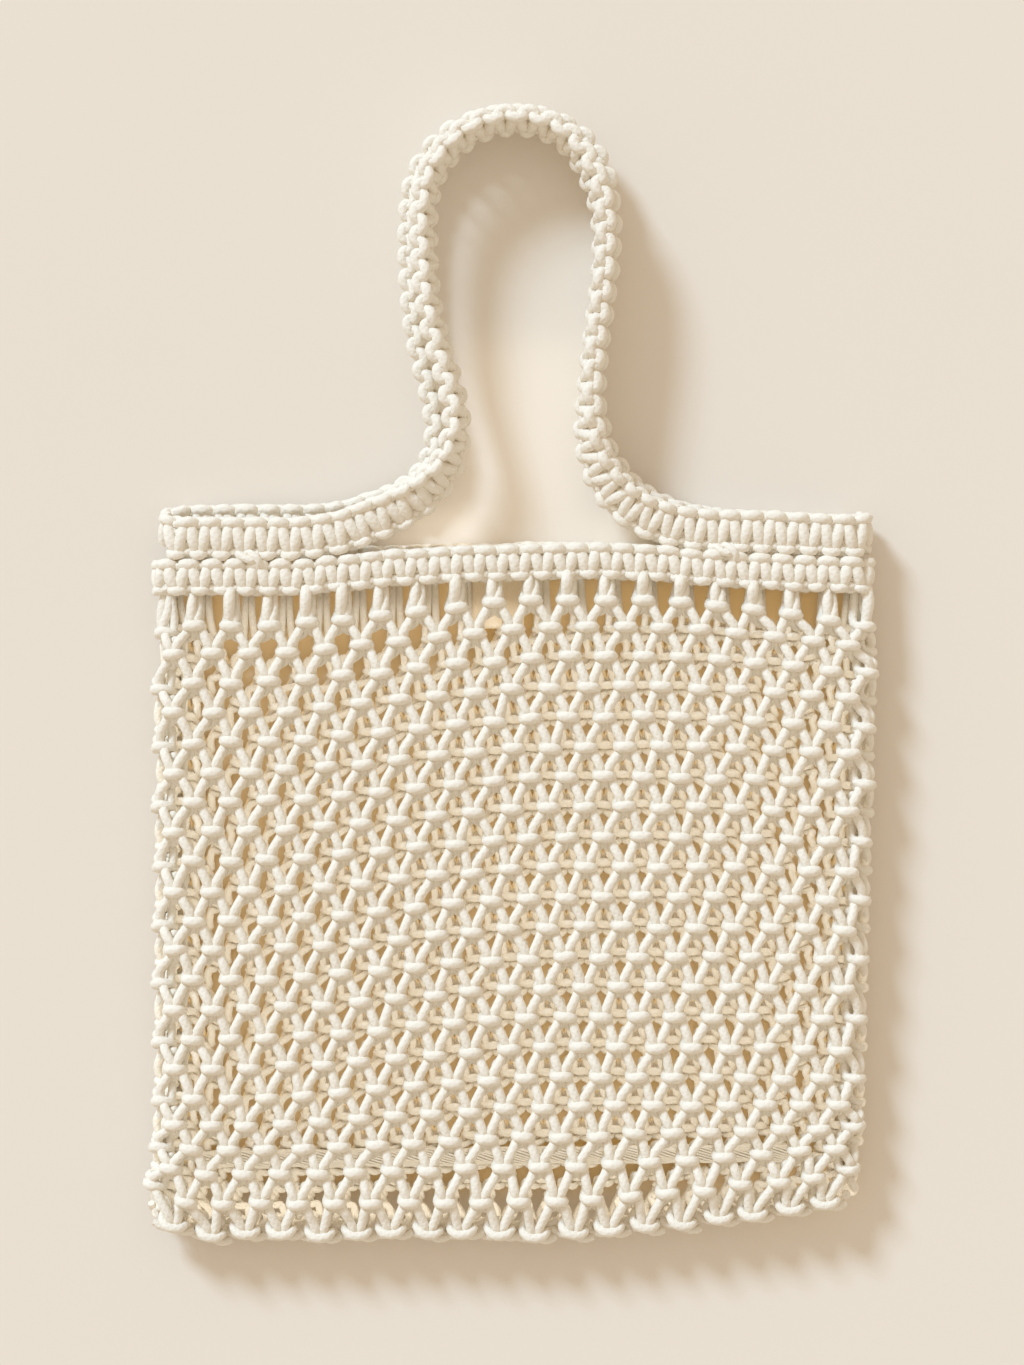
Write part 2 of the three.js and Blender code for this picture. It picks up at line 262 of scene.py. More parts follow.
def curve_through(points: np.ndarray, fine: int, closed: bool) -> np.ndarray:
    """Lay a centripetal curve through points.

    Args:
        points: Rows of values, the first three of them a place.
        fine: Steps from one point to the next.
        closed: True where the last point leads back to the first.

    Returns:
        The rows of the fine curve.
    """
    if closed:
        chain = np.concatenate([points[-1:], points, points[:2]])
    else:
        first = 2.0 * points[:1] - points[1:2]
        last = 2.0 * points[-1:] - points[-2:-1]
        chain = np.concatenate([first, points, last])
    gaps = np.sqrt(np.maximum(np.linalg.norm(np.diff(chain[:, :3], axis=0), axis=1), SHORTEST))
    t1 = gaps[:-2, None]
    t2 = t1 + gaps[1:-1, None]
    t3 = t2 + gaps[2:, None]
    t0 = np.zeros_like(t1)
    t = t1 + (t2 - t1) * (np.arange(fine) / fine)[None, :]
    p0, p1, p2, p3 = (chain[k : len(chain) - 3 + k, None, :] for k in range(4))

    def mixed(a: np.ndarray, b: np.ndarray, ta: np.ndarray, tb: np.ndarray) -> np.ndarray:
        """Return a and b mixed by where t lies between ta and tb."""
        share = ((t - ta) / (tb - ta))[:, :, None]
        return a * (1.0 - share) + b * share

    a1 = mixed(p0, p1, t0, t1)
    a2 = mixed(p1, p2, t1, t2)
    a3 = mixed(p2, p3, t2, t3)
    line = mixed(mixed(a1, a2, t0, t2), mixed(a2, a3, t1, t3), t1, t2)
    line = line.reshape(-1, points.shape[1])
    return line if closed else np.concatenate([line, points[-1:]])


@dataclass(frozen=True)
class Facets:
    """How finely cord is cut: most degrees and most millimetres from ring to ring, and sides round it."""

    turn: float
    step: float
    sides: int


STRAP_FACETS = Facets(30.0, 5.5, 7)
LINK_FACETS = Facets(27.0, 5.0, 7)


@dataclass
class Strand:
    """One run of cord: rows of x, y, z and radius along its middle."""

    line: np.ndarray
    closed: bool = False

    def smoothed(self, facets: Facets) -> "Strand":
        """Round the run off with few rings where it is straight and many where it bends.

        Args:
            facets: How finely it is cut.

        Returns:
            The rounded run.
        """
        fine = curve_through(self.line, FINE_STEPS, self.closed)
        if self.closed:
            fine = np.concatenate([fine, fine[:1]])
        leg = np.diff(fine[:, :3], axis=0)
        length = np.maximum(np.linalg.norm(leg, axis=1), SHORTEST)
        way = leg / length[:, None]
        bend = np.degrees(np.arccos(np.clip(np.sum(way[1:] * way[:-1], axis=1), -1.0, 1.0)))
        cost = length / facets.step
        cost[1:] += 0.5 * bend / facets.turn
        cost[:-1] += 0.5 * bend / facets.turn
        walk = np.concatenate([[0.0], np.cumsum(cost)])
        count = max(int(math.ceil(walk[-1])), FEWEST_RINGS)
        places = np.linspace(0.0, walk[-1], count + 1)
        if self.closed:
            places = places[:-1]
        columns = [np.interp(places, walk, fine[:, k]) for k in range(fine.shape[1])]
        return Strand(np.stack(columns, axis=1), self.closed)


class NodeBench:
    """Shorthand for laying out the nodes of one tree."""

    def __init__(self, tree: bpy.types.NodeTree) -> None:
        """Keep the tree that the nodes go into."""
        self.tree = tree

    def add(self, kind: str, **settings: object) -> bpy.types.Node:
        """Add a node.

        Args:
            kind: Kind of node.
            settings: Its settings by name.

        Returns:
            The node.
        """
        node = self.tree.nodes.new(kind)
        for name, value in settings.items():
            setattr(node, name, value)
        return node

    def join(self, source: bpy.types.NodeSocket, target: bpy.types.NodeSocket) -> None:
        """Lead an output into an input."""
        self.tree.links.new(source, target)

    def math(self, operation: str, *values: object) -> bpy.types.NodeSocket:
        """Add a sum.

        Args:
            operation: Name of the operation.
            values: A socket or a number for each input.

        Returns:
            The socket that holds the result.
        """
        node = self.add("ShaderNodeMath", operation=operation)
        for place, value in zip(node.inputs, values):
            if isinstance(value, bpy.types.NodeSocket):
                self.join(value, place)
            else:
                place.default_value = value
        return node.outputs[0]

    def blend(
        self,
        share: bpy.types.NodeSocket,
        low: Sequence[float],
        high: Sequence[float],
    ) -> bpy.types.NodeSocket:
        """Mix two colours by a share.

        Args:
            share: Socket of the share, from 0 to 1.
            low: Colour at 0.
            high: Colour at 1.

        Returns:
            The socket of the mixed colour.
        """
        node = self.add("ShaderNodeMix", data_type="RGBA")
        self.join(share, node.inputs[0])
        node.inputs[6].default_value = (*low, 1.0)
        node.inputs[7].default_value = (*high, 1.0)
        return node.outputs[2]

    def noise(
        self,
        place: bpy.types.NodeSocket,
        scale: float,
        detail: float = 2.0,
    ) -> bpy.types.NodeSocket:
        """Add a soft uneven pattern.

        Args:
            place: Socket of the place where it is read.
            scale: How small it is.
            detail: How many finer layers it has.

        Returns:
            The socket of its strength, from 0 to 1.
        """
        node = self.add("ShaderNodeTexNoise")
        node.inputs["Scale"].default_value = scale
        node.inputs["Detail"].default_value = detail
        self.join(place, node.inputs["Vector"])
        return node.outputs["Fac"]

    def bump(self, height: bpy.types.NodeSocket, strength: float, depth: float) -> bpy.types.NodeSocket:
        """Roughen a surface by a height.

        Args:
            height: Socket of the height, from 0 to 1.
            strength: How strongly it shows.
            depth: Depth of the whole height, in metres.

        Returns:
            The socket of the roughened normal.
        """
        node = self.add("ShaderNodeBump")
        node.inputs["Strength"].default_value = strength
        node.inputs["Distance"].default_value = depth
        self.join(height, node.inputs["Height"])
        return node.outputs["Normal"]

    def store(
        self,
        geometry: bpy.types.NodeSocket,
        name: str,
        value: bpy.types.NodeSocket,
        kind: str = "FLOAT",
    ) -> bpy.types.NodeSocket:
        """Keep a value on each point of a geometry.

        Args:
            geometry: Socket of the geometry.
            name: Name that the value is kept under.
            value: Socket of the value.
            kind: Kind of value.

        Returns:
            The socket of the geometry with its values.
        """
        node = self.add("GeometryNodeStoreNamedAttribute", data_type=kind, domain="POINT")
        node.inputs["Name"].default_value = name
        self.join(geometry, node.inputs["Geometry"])
        self.join(value, node.inputs["Value"])
        return node.outputs["Geometry"]

    def recall(self, name: str) -> bpy.types.NodeSocket:
        """Read a number that is kept on each point.

        Args:
            name: Name that the number is kept under.

        Returns:
            The socket of the number.
        """
        node = self.add("GeometryNodeInputNamedAttribute", data_type="FLOAT")
        node.inputs["Name"].default_value = name
        return node.outputs[0]


class CordSweep:
    """Tree that runs a round cord along every strand of a curve."""

    def __init__(self) -> None:
        """Build the tree once, with named inputs for what differs from piece to piece."""
        self.tree = bpy.data.node_groups.new("cord_sweep", "GeometryNodeTree")
        face = self.tree.interface
        face.new_socket("Strands", in_out="INPUT", socket_type="NodeSocketGeometry")
        self.sides = face.new_socket("Sides", in_out="INPUT", socket_type="NodeSocketInt")
        self.scale = face.new_socket("Radius unit", in_out="INPUT", socket_type="NodeSocketFloat")
        self.finish = face.new_socket("Finish", in_out="INPUT", socket_type="NodeSocketMaterial")
        face.new_socket("Cord", in_out="OUTPUT", socket_type="NodeSocketGeometry")
        self._wire()

    def _wire(self) -> None:
        """Lay out the nodes: the sweep, the lay of the cord for its finish, and the finish."""
        bench = NodeBench(self.tree)
        entry = bench.add("NodeGroupInput")
        along = bench.add("GeometryNodeSplineParameter")
        path = bench.store(entry.outputs["Strands"], LAY_LENGTH, along.outputs["Length"])
        circle = bench.add("GeometryNodeCurvePrimitiveCircle")
        bench.join(entry.outputs["Sides"], circle.inputs["Resolution"])
        bench.join(entry.outputs["Radius unit"], circle.inputs["Radius"])
        around = bench.add("GeometryNodeSplineParameter")
        profile = bench.store(circle.outputs["Curve"], LAY_TURN, around.outputs["Factor"])
        radius = bench.add("GeometryNodeInputRadius")
        sweep = bench.add("GeometryNodeCurveToMesh")
        sweep.inputs["Fill Caps"].default_value = True
        bench.join(path, sweep.inputs["Curve"])
        bench.join(profile, sweep.inputs["Profile Curve"])
        bench.join(radius.outputs[0], sweep.inputs["Scale"])
        angle = bench.math("MULTIPLY", bench.recall(LAY_TURN), math.tau)
        lay = bench.add("ShaderNodeCombineXYZ")
        bench.join(bench.recall(LAY_LENGTH), lay.inputs[0])
        bench.join(bench.math("COSINE", angle), lay.inputs[1])
        bench.join(bench.math("SINE", angle), lay.inputs[2])
        cord = bench.store(sweep.outputs["Mesh"], CORD_LAY, lay.outputs[0], "FLOAT_VECTOR")
        for kind in ("SetShadeSmooth", "RealizeInstances", "SetMaterial"):
            last = bench.add("GeometryNode" + kind)
            bench.join(cord, last.inputs["Geometry"])
            cord = last.outputs["Geometry"]
        bench.join(entry.outputs["Finish"], last.inputs["Material"])
        bench.join(cord, bench.add("NodeGroupOutput").inputs["Cord"])

    def piece(
        self,
        name: str,
        strands: Iterable[Strand],
        sides: int,
        finish: bpy.types.Material,
    ) -> bpy.types.Object:
        """Make one plain mesh of cords.

        Args:
            name: Name of the piece.
            strands: The runs of cord.
            sides: Facets round the cord.
            finish: Its material.

        Returns:
            The piece, with its place in its mesh.
        """
        paths = bpy.data.curves.new(name + "_paths", "CURVE")
        paths.dimensions = "3D"
        paths.twist_mode = "MINIMUM"
        for strand in strands:
            spline = paths.splines.new("POLY")
            spline.points.add(len(strand.line) - 1)
            places = np.ones((len(strand.line), 4))
            places[:, :3] = in_metres(strand.line[:, :3])
            spline.points.foreach_set("co", places.ravel())
            spline.points.foreach_set("radius", strand.line[:, 3].copy())
            spline.use_cyclic_u = strand.closed
        host = bpy.data.objects.new(name + "_paths", paths)
        bpy.context.collection.objects.link(host)
        modifier = host.modifiers.new("cord_sweep", "NODES")
        modifier.node_group = self.tree
        modifier[self.sides.identifier] = sides
        modifier[self.scale.identifier] = MILLIMETRE
        modifier[self.finish.identifier] = finish
        graph = bpy.context.evaluated_depsgraph_get()
        mesh = bpy.data.meshes.new_from_object(host.evaluated_get(graph), depsgraph=graph)
        bpy.data.objects.remove(host)
        bpy.data.curves.remove(paths)
        for spare in (LAY_LENGTH, LAY_TURN, "radius", "tilt"):
            layer = mesh.attributes.get(spare)
            if layer is not None:
                mesh.attributes.remove(layer)
        mesh.name = name
        mesh.materials.clear()
        mesh.materials.append(finish)
        made = bpy.data.objects.new(name, mesh)
        bpy.context.collection.objects.link(made)
        return made


@dataclass(frozen=True)
class Finish:
    """What every finish starts from."""

    name: str

    def start(self) -> tuple[bpy.types.Material, NodeBench, bpy.types.Node]:
        """Make a plain material.

        Returns:
            The material, the bench of its tree and its shader.
        """
        material = bpy.data.materials.new(self.name)
        material.use_nodes = True
        tree = material.node_tree
        return material, NodeBench(tree), tree.nodes["Principled BSDF"]


@dataclass(frozen=True)
class CottonFinish(Finish):
    """Matt off-white braided cotton, a little uneven in colour, with painted shade in the braid's grooves,
    and fuzzy at its edges.
    """

    name: str = "cotton_cord_look"
    pale: Colour = (0.855, 0.815, 0.732)
    cream: Colour = (0.835, 0.782, 0.685)
    braid_pitch: float = 0.0034
    braid_strands: float = 4.0
    braid_height: float = 0.5
    # Painted shade: how much darker and creamier the base colour is in the braid's grooves.
    groove_shade: float = 0.12
    patch_scale: float = 55.0
    patch_tone: float = 0.7
    pale_share: float = 0.15
    fuzz_scale: float = 1500.0
    fuzz_detail: float = 3.0
    fuzz_tint: Colour = (1.0, 0.86, 0.62)
    fuzz_weight: float = 0.3
    fuzz_spread: float = 0.5
    bump_strength: float = 0.45
    bump_depth: float = 0.0004
    roughness: float = 0.8
    rough_range: float = 0.15
    gloss: float = 0.2

    def build(self) -> bpy.types.Material:
        """Make the material, with its plait read off each cord's own lay.

        Returns:
            The material.
        """
        material, bench, shader = self.start()
        lay = bench.add("ShaderNodeAttribute", attribute_name=CORD_LAY)
        split = bench.add("ShaderNodeSeparateXYZ")
        bench.join(lay.outputs["Vector"], split.inputs[0])
        angle = bench.math("ARCTAN2", split.outputs[2], split.outputs[1])
        run = bench.math("MULTIPLY", split.outputs[0], math.tau / self.braid_pitch)
        wind = bench.math("MULTIPLY", angle, self.braid_strands)
        right = bench.math("SINE", bench.math("ADD", run, wind))
        left = bench.math("SINE", bench.math("SUBTRACT", run, wind))
        plait = bench.math("MAXIMUM", right, left)
        place = bench.add("ShaderNodeTexCoord").outputs["Object"]
        fuzz = bench.noise(place, self.fuzz_scale, self.fuzz_detail)
        patch = bench.noise(place, self.patch_scale)
        # Painted shade in the braid's grooves, added to the random patches of real tone that mix pale and
        # cream.
        painted_groove_shade = bench.math("MULTIPLY_ADD", plait, -self.groove_shade, self.groove_shade)
        tone = bench.math("MULTIPLY_ADD", patch, self.patch_tone, painted_groove_shade)
        tone = bench.math("SUBTRACT", tone, self.pale_share)
        bench.join(bench.blend(tone, self.pale, self.cream), shader.inputs["Base Color"])
        height = bench.math("MULTIPLY_ADD", plait, self.braid_height, fuzz)
        bench.join(bench.bump(height, self.bump_strength, self.bump_depth), shader.inputs["Normal"])
        rough = bench.math("MULTIPLY_ADD", fuzz, self.rough_range, self.roughness)
        bench.join(rough, shader.inputs["Roughness"])
        shader.inputs["Sheen Weight"].default_value = self.fuzz_weight
        shader.inputs["Sheen Roughness"].default_value = self.fuzz_spread
        shader.inputs["Sheen Tint"].default_value = (*self.fuzz_tint, 1.0)
        shader.inputs["Specular IOR Level"].default_value = self.gloss
        return material


@dataclass(frozen=True)
class LabelFinish(Finish):
    """Pale tan tape with a fine plain weave."""

    name: str = "label_cloth_look"
    light: Colour = (0.93, 0.82, 0.64)
    dark: Colour = (0.82, 0.7, 0.52)
    threads: float = 5200.0
    weave_tone: float = 0.25
    patch_scale: float = 240.0
    bump_strength: float = 0.4
    bump_depth: float = 0.0002
    roughness: float = 0.75
    rough_range: float = 0.2
    gloss: float = 0.25

    def build(self) -> bpy.types.Material:
        """Make the material, woven on the label's own width and length.

        Returns:
            The material.
        """
        material, bench, shader = self.start()
        place = bench.add("ShaderNodeTexCoord").outputs["Object"]
        split = bench.add("ShaderNodeSeparateXYZ")
        bench.join(place, split.inputs[0])
        warp = bench.math("SINE", bench.math("MULTIPLY", split.outputs[0], self.threads))
        weft = bench.math("SINE", bench.math("MULTIPLY", split.outputs[1], self.threads))
        weave = bench.math("MULTIPLY", warp, weft)
        patch = bench.noise(place, self.patch_scale)
        tone = bench.math("MULTIPLY_ADD", weave, self.weave_tone, patch)
        bench.join(bench.blend(tone, self.light, self.dark), shader.inputs["Base Color"])
        bench.join(bench.bump(weave, self.bump_strength, self.bump_depth), shader.inputs["Normal"])
        rough = bench.math("MULTIPLY_ADD", patch, self.rough_range, self.roughness)
        bench.join(rough, shader.inputs["Roughness"])
        shader.inputs["Specular IOR Level"].default_value = self.gloss
        return material


@dataclass(frozen=True)
class FloorFinish(Finish):
    """Plain pale beige paper floor."""

    name: str = "floor_look"
    light: Colour = (0.81, 0.752, 0.676)
    dark: Colour = (0.795, 0.737, 0.656)
    drift_scale: float = 4.0
    roughness: float = 0.9
    gloss: float = 0.1

    def build(self) -> bpy.types.Material:
        """Make the material, with the faintest drift of tone.

        Returns:
            The material.
        """
        material, bench, shader = self.start()
        place = bench.add("ShaderNodeTexCoord").outputs["Object"]
        drift = bench.noise(place, self.drift_scale)
        bench.join(bench.blend(drift, self.light, self.dark), shader.inputs["Base Color"])
        shader.inputs["Roughness"].default_value = self.roughness
        shader.inputs["Specular IOR Level"].default_value = self.gloss
        return material


class Role(Enum):
    """What a cord does in one knot of the net."""

    BAR = "wraps round the knot and makes its front bar"
    RIGHT_EAR = "enters at the upper right and runs under the bar"
    LEFT_EAR = "enters at the upper left and runs under the bar"
    BEHIND = "passes behind the knot and leaves at the lower right"


# Which knot below a cord goes to (-1 lower left, +1 lower right) and what it does there.
NEXT_ROLE: dict[Role, tuple[int, Role]] = {
    Role.BAR: (-1, Role.RIGHT_EAR),
    Role.RIGHT_EAR: (1, Role.BAR),
    Role.LEFT_EAR: (-1, Role.BEHIND),
    Role.BEHIND: (1, Role.LEFT_EAR),
}
# Way of each cord from the band down to the first row: right, distance below its start in millimetres
# and as a share of the whole drop, out, share of the cord's radius.
HANGING_WAY: dict[Role, tuple[tuple[float, ...], ...]] = {
    Role.BAR: ((-1.4, 0.0, 0.0, -1.8, 0.85), (-1.8, 0.0, 0.6, -3.4, 0.95)),
    Role.RIGHT_EAR: ((1.5, 0.4, 0.0, -1.8, 0.85), (2.2, 0.0, 0.65, -0.9, 0.98)),
    Role.LEFT_EAR: ((-0.6, 0.4, 0.0, 0.2, 0.9), (-1.2, 0.0, 0.65, 2.2, 1.1)),
    Role.BEHIND: ((1.4, 0.0, 0.0, -1.8, 0.85), (1.8, 0.0, 0.6, -3.4, 0.95)),
}
# The same for a cord that hangs over the front of the band's lower edge.
HANGING_OVER_WAY: tuple[tuple[float, ...], ...] = (
    (-0.4, 0.0, 0.0, 0.0, 1.1),
    (-0.5, 0.3, 0.0, 3.2, 1.25),
    (-0.6, 0.5, 0.35, 4.8, 1.3),
    (-0.8, 0.0, 0.75, 4.0, 1.25),
)
# Way of each cord through a knot: right, up, out, share of the cord's radius.
KNOT_WAY: dict[Role, np.ndarray] = {
    Role.BAR: np.array([
        (-3.0, 7.0, -4.3, 0.95),
        (-3.2, 3.3, -4.1, 0.95),
        (-4.0, 0.8, -2.2, 0.97),
        (-3.55, 0.1, 0.9, 1.14),
        (-2.3, 0.0, 3.0, 1.2),
        (0.0, 0.0, 3.4, 1.22),
        (2.3, 0.0, 3.0, 1.2),
        (3.55, -0.1, 0.9, 1.14),
        (3.9, -0.5, -2.0, 0.95),
        (2.1, -0.7, -4.2, 1.0),
        (0.0, -0.8, -4.8, 1.12),
        (-1.9, -0.9, -3.9, 1.0),
        (-2.9, -1.7, -1.6, 0.95),
        (-3.2, -3.3, 0.8, 1.0),
    ]),
    Role.RIGHT_EAR: np.array([
        (3.3, 6.4, 2.0, 1.03),
        (1.55, 2.9, 1.7, 1.0),
        (1.3, 0.0, 0.2, 0.85),
        (1.1, -2.8, -0.5, 0.76),
        (1.3, -4.5, -2.0, 0.78),
        (4.1, -5.9, -4.3, 0.9),
    ]),
    Role.LEFT_EAR: np.array([
        (-2.7, 6.5, 2.2, 1.03),
        (-1.45, 2.9, 1.9, 1.0),
        (-1.3, 0.0, 0.1, 0.85),
        (-0.9, -2.8, -0.5, 0.76),
        (-1.0, -4.5, -2.0, 0.78),
        (-4.1, -5.9, -4.3, 0.9),
    ]),
    Role.BEHIND: np.array([
        (3.5, 7.0, -4.2, 0.95),
        (2.9, 3.0, -3.9, 0.9),
        (2.9, 0.0, -3.3, 0.85),
        (3.6, -2.1, 0.3, 1.0),
        (4.5, -4.4, 1.5, 1.03),
    ]),
}
# Way of each cord through the closing row at the bottom edge, where it ends inside.
CLOSING_WAY: dict[Role, np.ndarray] = {
    Role.BAR: np.array([
        (-4.6, 7.0, -2.6, 0.95),
        (-6.2, 3.0, -1.6, 0.9),
        (-5.9, 1.2, 0.9, 0.88),
        (-3.4, -0.7, 2.9, 1.02),
        (0.0, -1.3, 3.3, 1.06),
        (3.4, -0.7, 2.9, 1.02),
        (5.9, 1.0, 0.8, 0.88),
        (4.6, 0.0, -2.6, 0.88),
        (0.8, -1.0, -4.2, 0.8),
    ]),
    Role.RIGHT_EAR: np.array([
        (3.7, 6.4, 1.6, 1.02),
        (1.9, 2.6, 1.8, 1.0),
        (1.5, 0.0, 0.4, 0.85),
        (2.2, -2.4, -0.8, 0.85),
        (4.6, -4.0, -1.8, 0.9),
        (8.0, -3.7, -2.4, 0.9),
        (10.5, -2.4, -3.0, 0.85),
    ]),
    Role.LEFT_EAR: np.array([
        (-3.4, 6.4, 1.6, 1.02),
        (-1.9, 2.6, 1.8, 1.0),
        (-1.5, 0.0, 0.4, 0.85),
        (-2.2, -2.4, -1.2, 0.85),
        (-4.6, -3.4, -3.0, 0.9),
        (-8.0, -2.9, -4.0, 0.9),
        (-10.5, -1.8, -4.4, 0.85),
    ]),
    Role.BEHIND: np.array([
        (4.4, 6.6, -2.8, 0.95),
        (2.9, 2.8, -2.9, 0.9),
        (2.2, 0.0, -2.8, 0.85),
        (1.4, -2.4, -3.0, 0.8),
    ]),
}


class Wall(Enum):
    """The two walls of the lying bag."""

    FRONT = "front"
    BACK = "back"


NET_FACETS: dict[Wall, Facets] = {
    Wall.FRONT: Facets(29.0, 6.0, 7),
    Wall.BACK: Facets(40.0, 7.0, 6),
}
# How the columns are spread round the flattened tube: column, share of a quarter of the way round.
COLUMN_SPREAD = np.array([
    (-10.0, -1.03),
    (-8.5, -0.877),
    (2.5, 0.252),
    (10.0, 1.02),
    (11.5, 1.149),
    (17.5, 1.748),
    (28.5, 2.86),
    (30.0, 2.97),
])


@dataclass
class Knot:
    """Where a knot sits and which way it faces."""

    place: np.ndarray
    right: np.ndarray
    up: np.ndarray
    out: np.ndarray

    def set_in(self, way: np.ndarray) -> np.ndarray:
        """Set a way through a knot in this knot's place.

        Args:
            way: Rows of right, up, out and share of the cord's radius.

        Returns:
            Rows of x, y, z and share of the cord's radius.
        """
        spread = (
            self.place
            + way[:, 0:1] * self.right
            + way[:, 1:2] * self.up
            + way[:, 2:3] * self.out
        )
        return np.concatenate([spread, way[:, 3:4]], axis=1)


@dataclass(frozen=True)
class RowBow:
    """How the rows bow: low on the left, low on the right in the first rows, and along the bottom edge last.

    A stretch, here and in the net, is given by its start and its length.
    """

    crest: float = 46.5
    left_low: float = 13.5
    left_fade: float = 0.175
    left_reach: float = 207.5
    left_stretch: tuple[float, float] = (0.05, 0.87)
    right_low: float = 12.0
    right_fade: float = 3.5
    right_rest: float = 1.5
    right_reach: float = 126.5
    right_most: float = 1.1
    closing_rows: tuple[float, float] = (17.0, 5.0)

    def drop(self, x: float, row: float) -> float:
        """Tell how far a row hangs below its crest.

        Args:
            x: Place across the bag.
            row: Row, 1 at the top.

        Returns:
            The drop at x, less than nothing where the bottom edge rises.
        """
        if x < self.crest:
            low = self.left_low - self.left_fade * (row - 1)
            bow = low * eased_over((self.crest - x) / self.left_reach, self.left_stretch)
        else:
            low = self.right_low * math.exp(-(row - 1) / self.right_fade) + self.right_rest
            bow = low * min((x - self.crest) / self.right_reach, self.right_most) ** 2
        close = eased_over(row, self.closing_rows)
        return (1.0 - close) * bow - close * eased_height(SEAM_CURVE, x)


@dataclass(frozen=True)
class BottomYarn:
    """The flat bundle of loosely twisted yarn that lies inside along the bottom."""

    left: float = -158.0
    right: float = 146.0
    y: float = -244.0
    level: float = 13.0
    slope: float = 0.012
    half_width: float = 4.0
    half_depth: float = 1.2
    count: int = 18
    radius: float = 0.62
    twist_length: float = 75.0
    swell: float = 0.12
    swell_length: float = 17.0
    marks: int = 64
    sides: int = 5

    def strands(self) -> list[Strand]:
        """Wind the yarns round one another.

        Returns:
            One run for each yarn.
        """
        marks = np.linspace(self.left, self.right, self.marks)
        made = []
        for k in range(self.count):
            turn = math.tau * (k / self.count + marks / self.twist_length)
            swell = 1.0 + self.swell * np.sin(marks / self.swell_length + k)
            y = self.y + self.slope * marks + self.half_width * swell * np.cos(turn)
            z = self.level + self.half_depth * swell * np.sin(turn)
            made.append(Strand(np.stack([marks, y, z, 0.0 * marks + self.radius], axis=1)))
        return made


@dataclass
class NetPouch:
    """The knotted net: a flattened tube of alternating knots, closed along its bottom edge."""

    columns: int = 40
    rows: int = 21
    depth: float = 5.6
    cord: float = 2.4
    back_cord: float = 2.05
    bow: RowBow = RowBow()
    # Heights of the rows.
    first_row: float = 37.5
    row_gap: float = 15.0
    first_drop: float = 1.4
    last_drop: float = 3.5
    last_rows: tuple[float, float] = (19.5, 2.5)
    # How the back wall lies lower than the front wall and aside.
    back_drop: float = 13.6
    back_arch: float = 3.0
    back_arch_reach: float = 150.0
    back_drop_end: tuple[float, float] = (18.0, 4.0)
    back_close: float = 5.0
    back_close_rows: tuple[float, float] = (20.0, 2.0)
    back_aside: float = 5.0
    back_aside_end: float = 3.5
    back_aside_rows: float = 2.5
    back_lift: float = 0.6
    fold_columns: tuple[float, float] = (0.5, 2.5)
    # How far knots stand out of line: aside, along, out and turned.
    most_loose: float = 1.5
    closing_looseness: tuple[float, float, float, float] = (1.2, 1.8, 0.5, 2.0)
    knot_aside: float = 0.45
    knot_along: float = 0.4
    knot_out: float = 0.6
    knot_least_out: float = -0.5
    knot_turn: float = 4.0
    # What a knot's level and upright are read from: columns to each side, rows up and down, and the
    # share of its row's slope that it follows.
    look_aside: float = 0.25
    look_along: float = 0.5
    slope_share: float = 0.5
    # A knot that faces up or down by less than this lies on a fold.
    fold_facing: float = 0.85
    # Cords from the band, and legs from knot to knot.
    hang_start: float = 6.4
    hang_end: float = 5.6
    hung_over: tuple[int, ...] = (-8, -6, -5, -2, 1, 3, 4, 6, 9)
    hung_over_right: float = -1.3
    leg_length: float = 17.5
    most_stretch: float = 1.1
    leg_shares: tuple[float, float] = (0.24, 0.66)
    straightness: float = 0.8
    seed: int = 11
    rng: np.random.Generator = field(init=False)
    knots: dict[tuple[int, int], Knot] = field(init=False, default_factory=dict)

    def __post_init__(self) -> None:
        """Start the net's own seeded chance and set every knot."""
        self.rng = np.random.default_rng(self.seed)
        for row in range(1, self.rows + 2):
            for column in range(self.columns):
                self.knots[(row, column)] = self._knot(row, column)

    def _offset(self, row: int) -> float:
        """Return how far a row's knots stand from the whole columns."""
        return 0.5 if row % 2 else 0.0

    def _turned(self, u: float) -> float:
        """Return a column counted from the left fold over the front and then the back."""
        quarter = self.columns / 4
        return (u + quarter) % self.columns - quarter

    def _wall(self, u: float) -> Wall:
        """Return the wall that a column belongs to."""
        return Wall.FRONT if self._turned(u) < self.columns / 4 else Wall.BACK

    def _hangs_over(self, u: float) -> bool:
        """Return whether a column's cord hangs over the front of the band's lower edge."""
        return self._wall(u) is Wall.FRONT and math.floor(u) in self.hung_over

    def _ring(self, u: float, flat_y: float) -> tuple[float, float, float]:
        """Place a column on the flattened tube.

        Args:
            u: Column, 0 in the middle of the front and counted to the right.
            flat_y: Height of the row before it bows.

        Returns:
            The x and z of the place, and the share of the front wall, from 0 to 1.
        """
        table = POUCH_ROWS[::-1]
        left, right, floor, top = (np.interp(flat_y, table[:, 0], table[:, k]) for k in (1, 2, 3, 4))
        radius = max((top - floor) / 2 - self.depth, 1.0)
        middle_z = (top + floor) / 2
        middle_x = (left + right) / 2
        flat = (right - left) - 2 * self.depth - 2 * radius
        quarter = flat / 2 + math.pi * radius / 2
        s = quarter * np.interp(self._turned(u), COLUMN_SPREAD[:, 0], COLUMN_SPREAD[:, 1])
        if s < -flat / 2:
            s += 4 * quarter
        if s <= flat / 2:
            return middle_x + s, middle_z + radius, 1.0
        s -= flat / 2
        if s <= math.pi * radius:
            turn = s / radius
            x = middle_x + flat / 2 + radius * math.sin(turn)
            return x, middle_z + radius * math.cos(turn), 0.5 + 0.5 * math.cos(turn)
        s -= math.pi * radius
        if s <= flat:
            return middle_x + flat / 2 - s, middle_z - radius, 0.0
        s -= flat
        if s <= math.pi * radius:
            turn = s / radius
            x = middle_x - flat / 2 - radius * math.sin(turn)
            return x, middle_z - radius * math.cos(turn), 0.5 - 0.5 * math.cos(turn)
        s -= math.pi * radius
        return middle_x - flat / 2 + s, middle_z + radius, 1.0

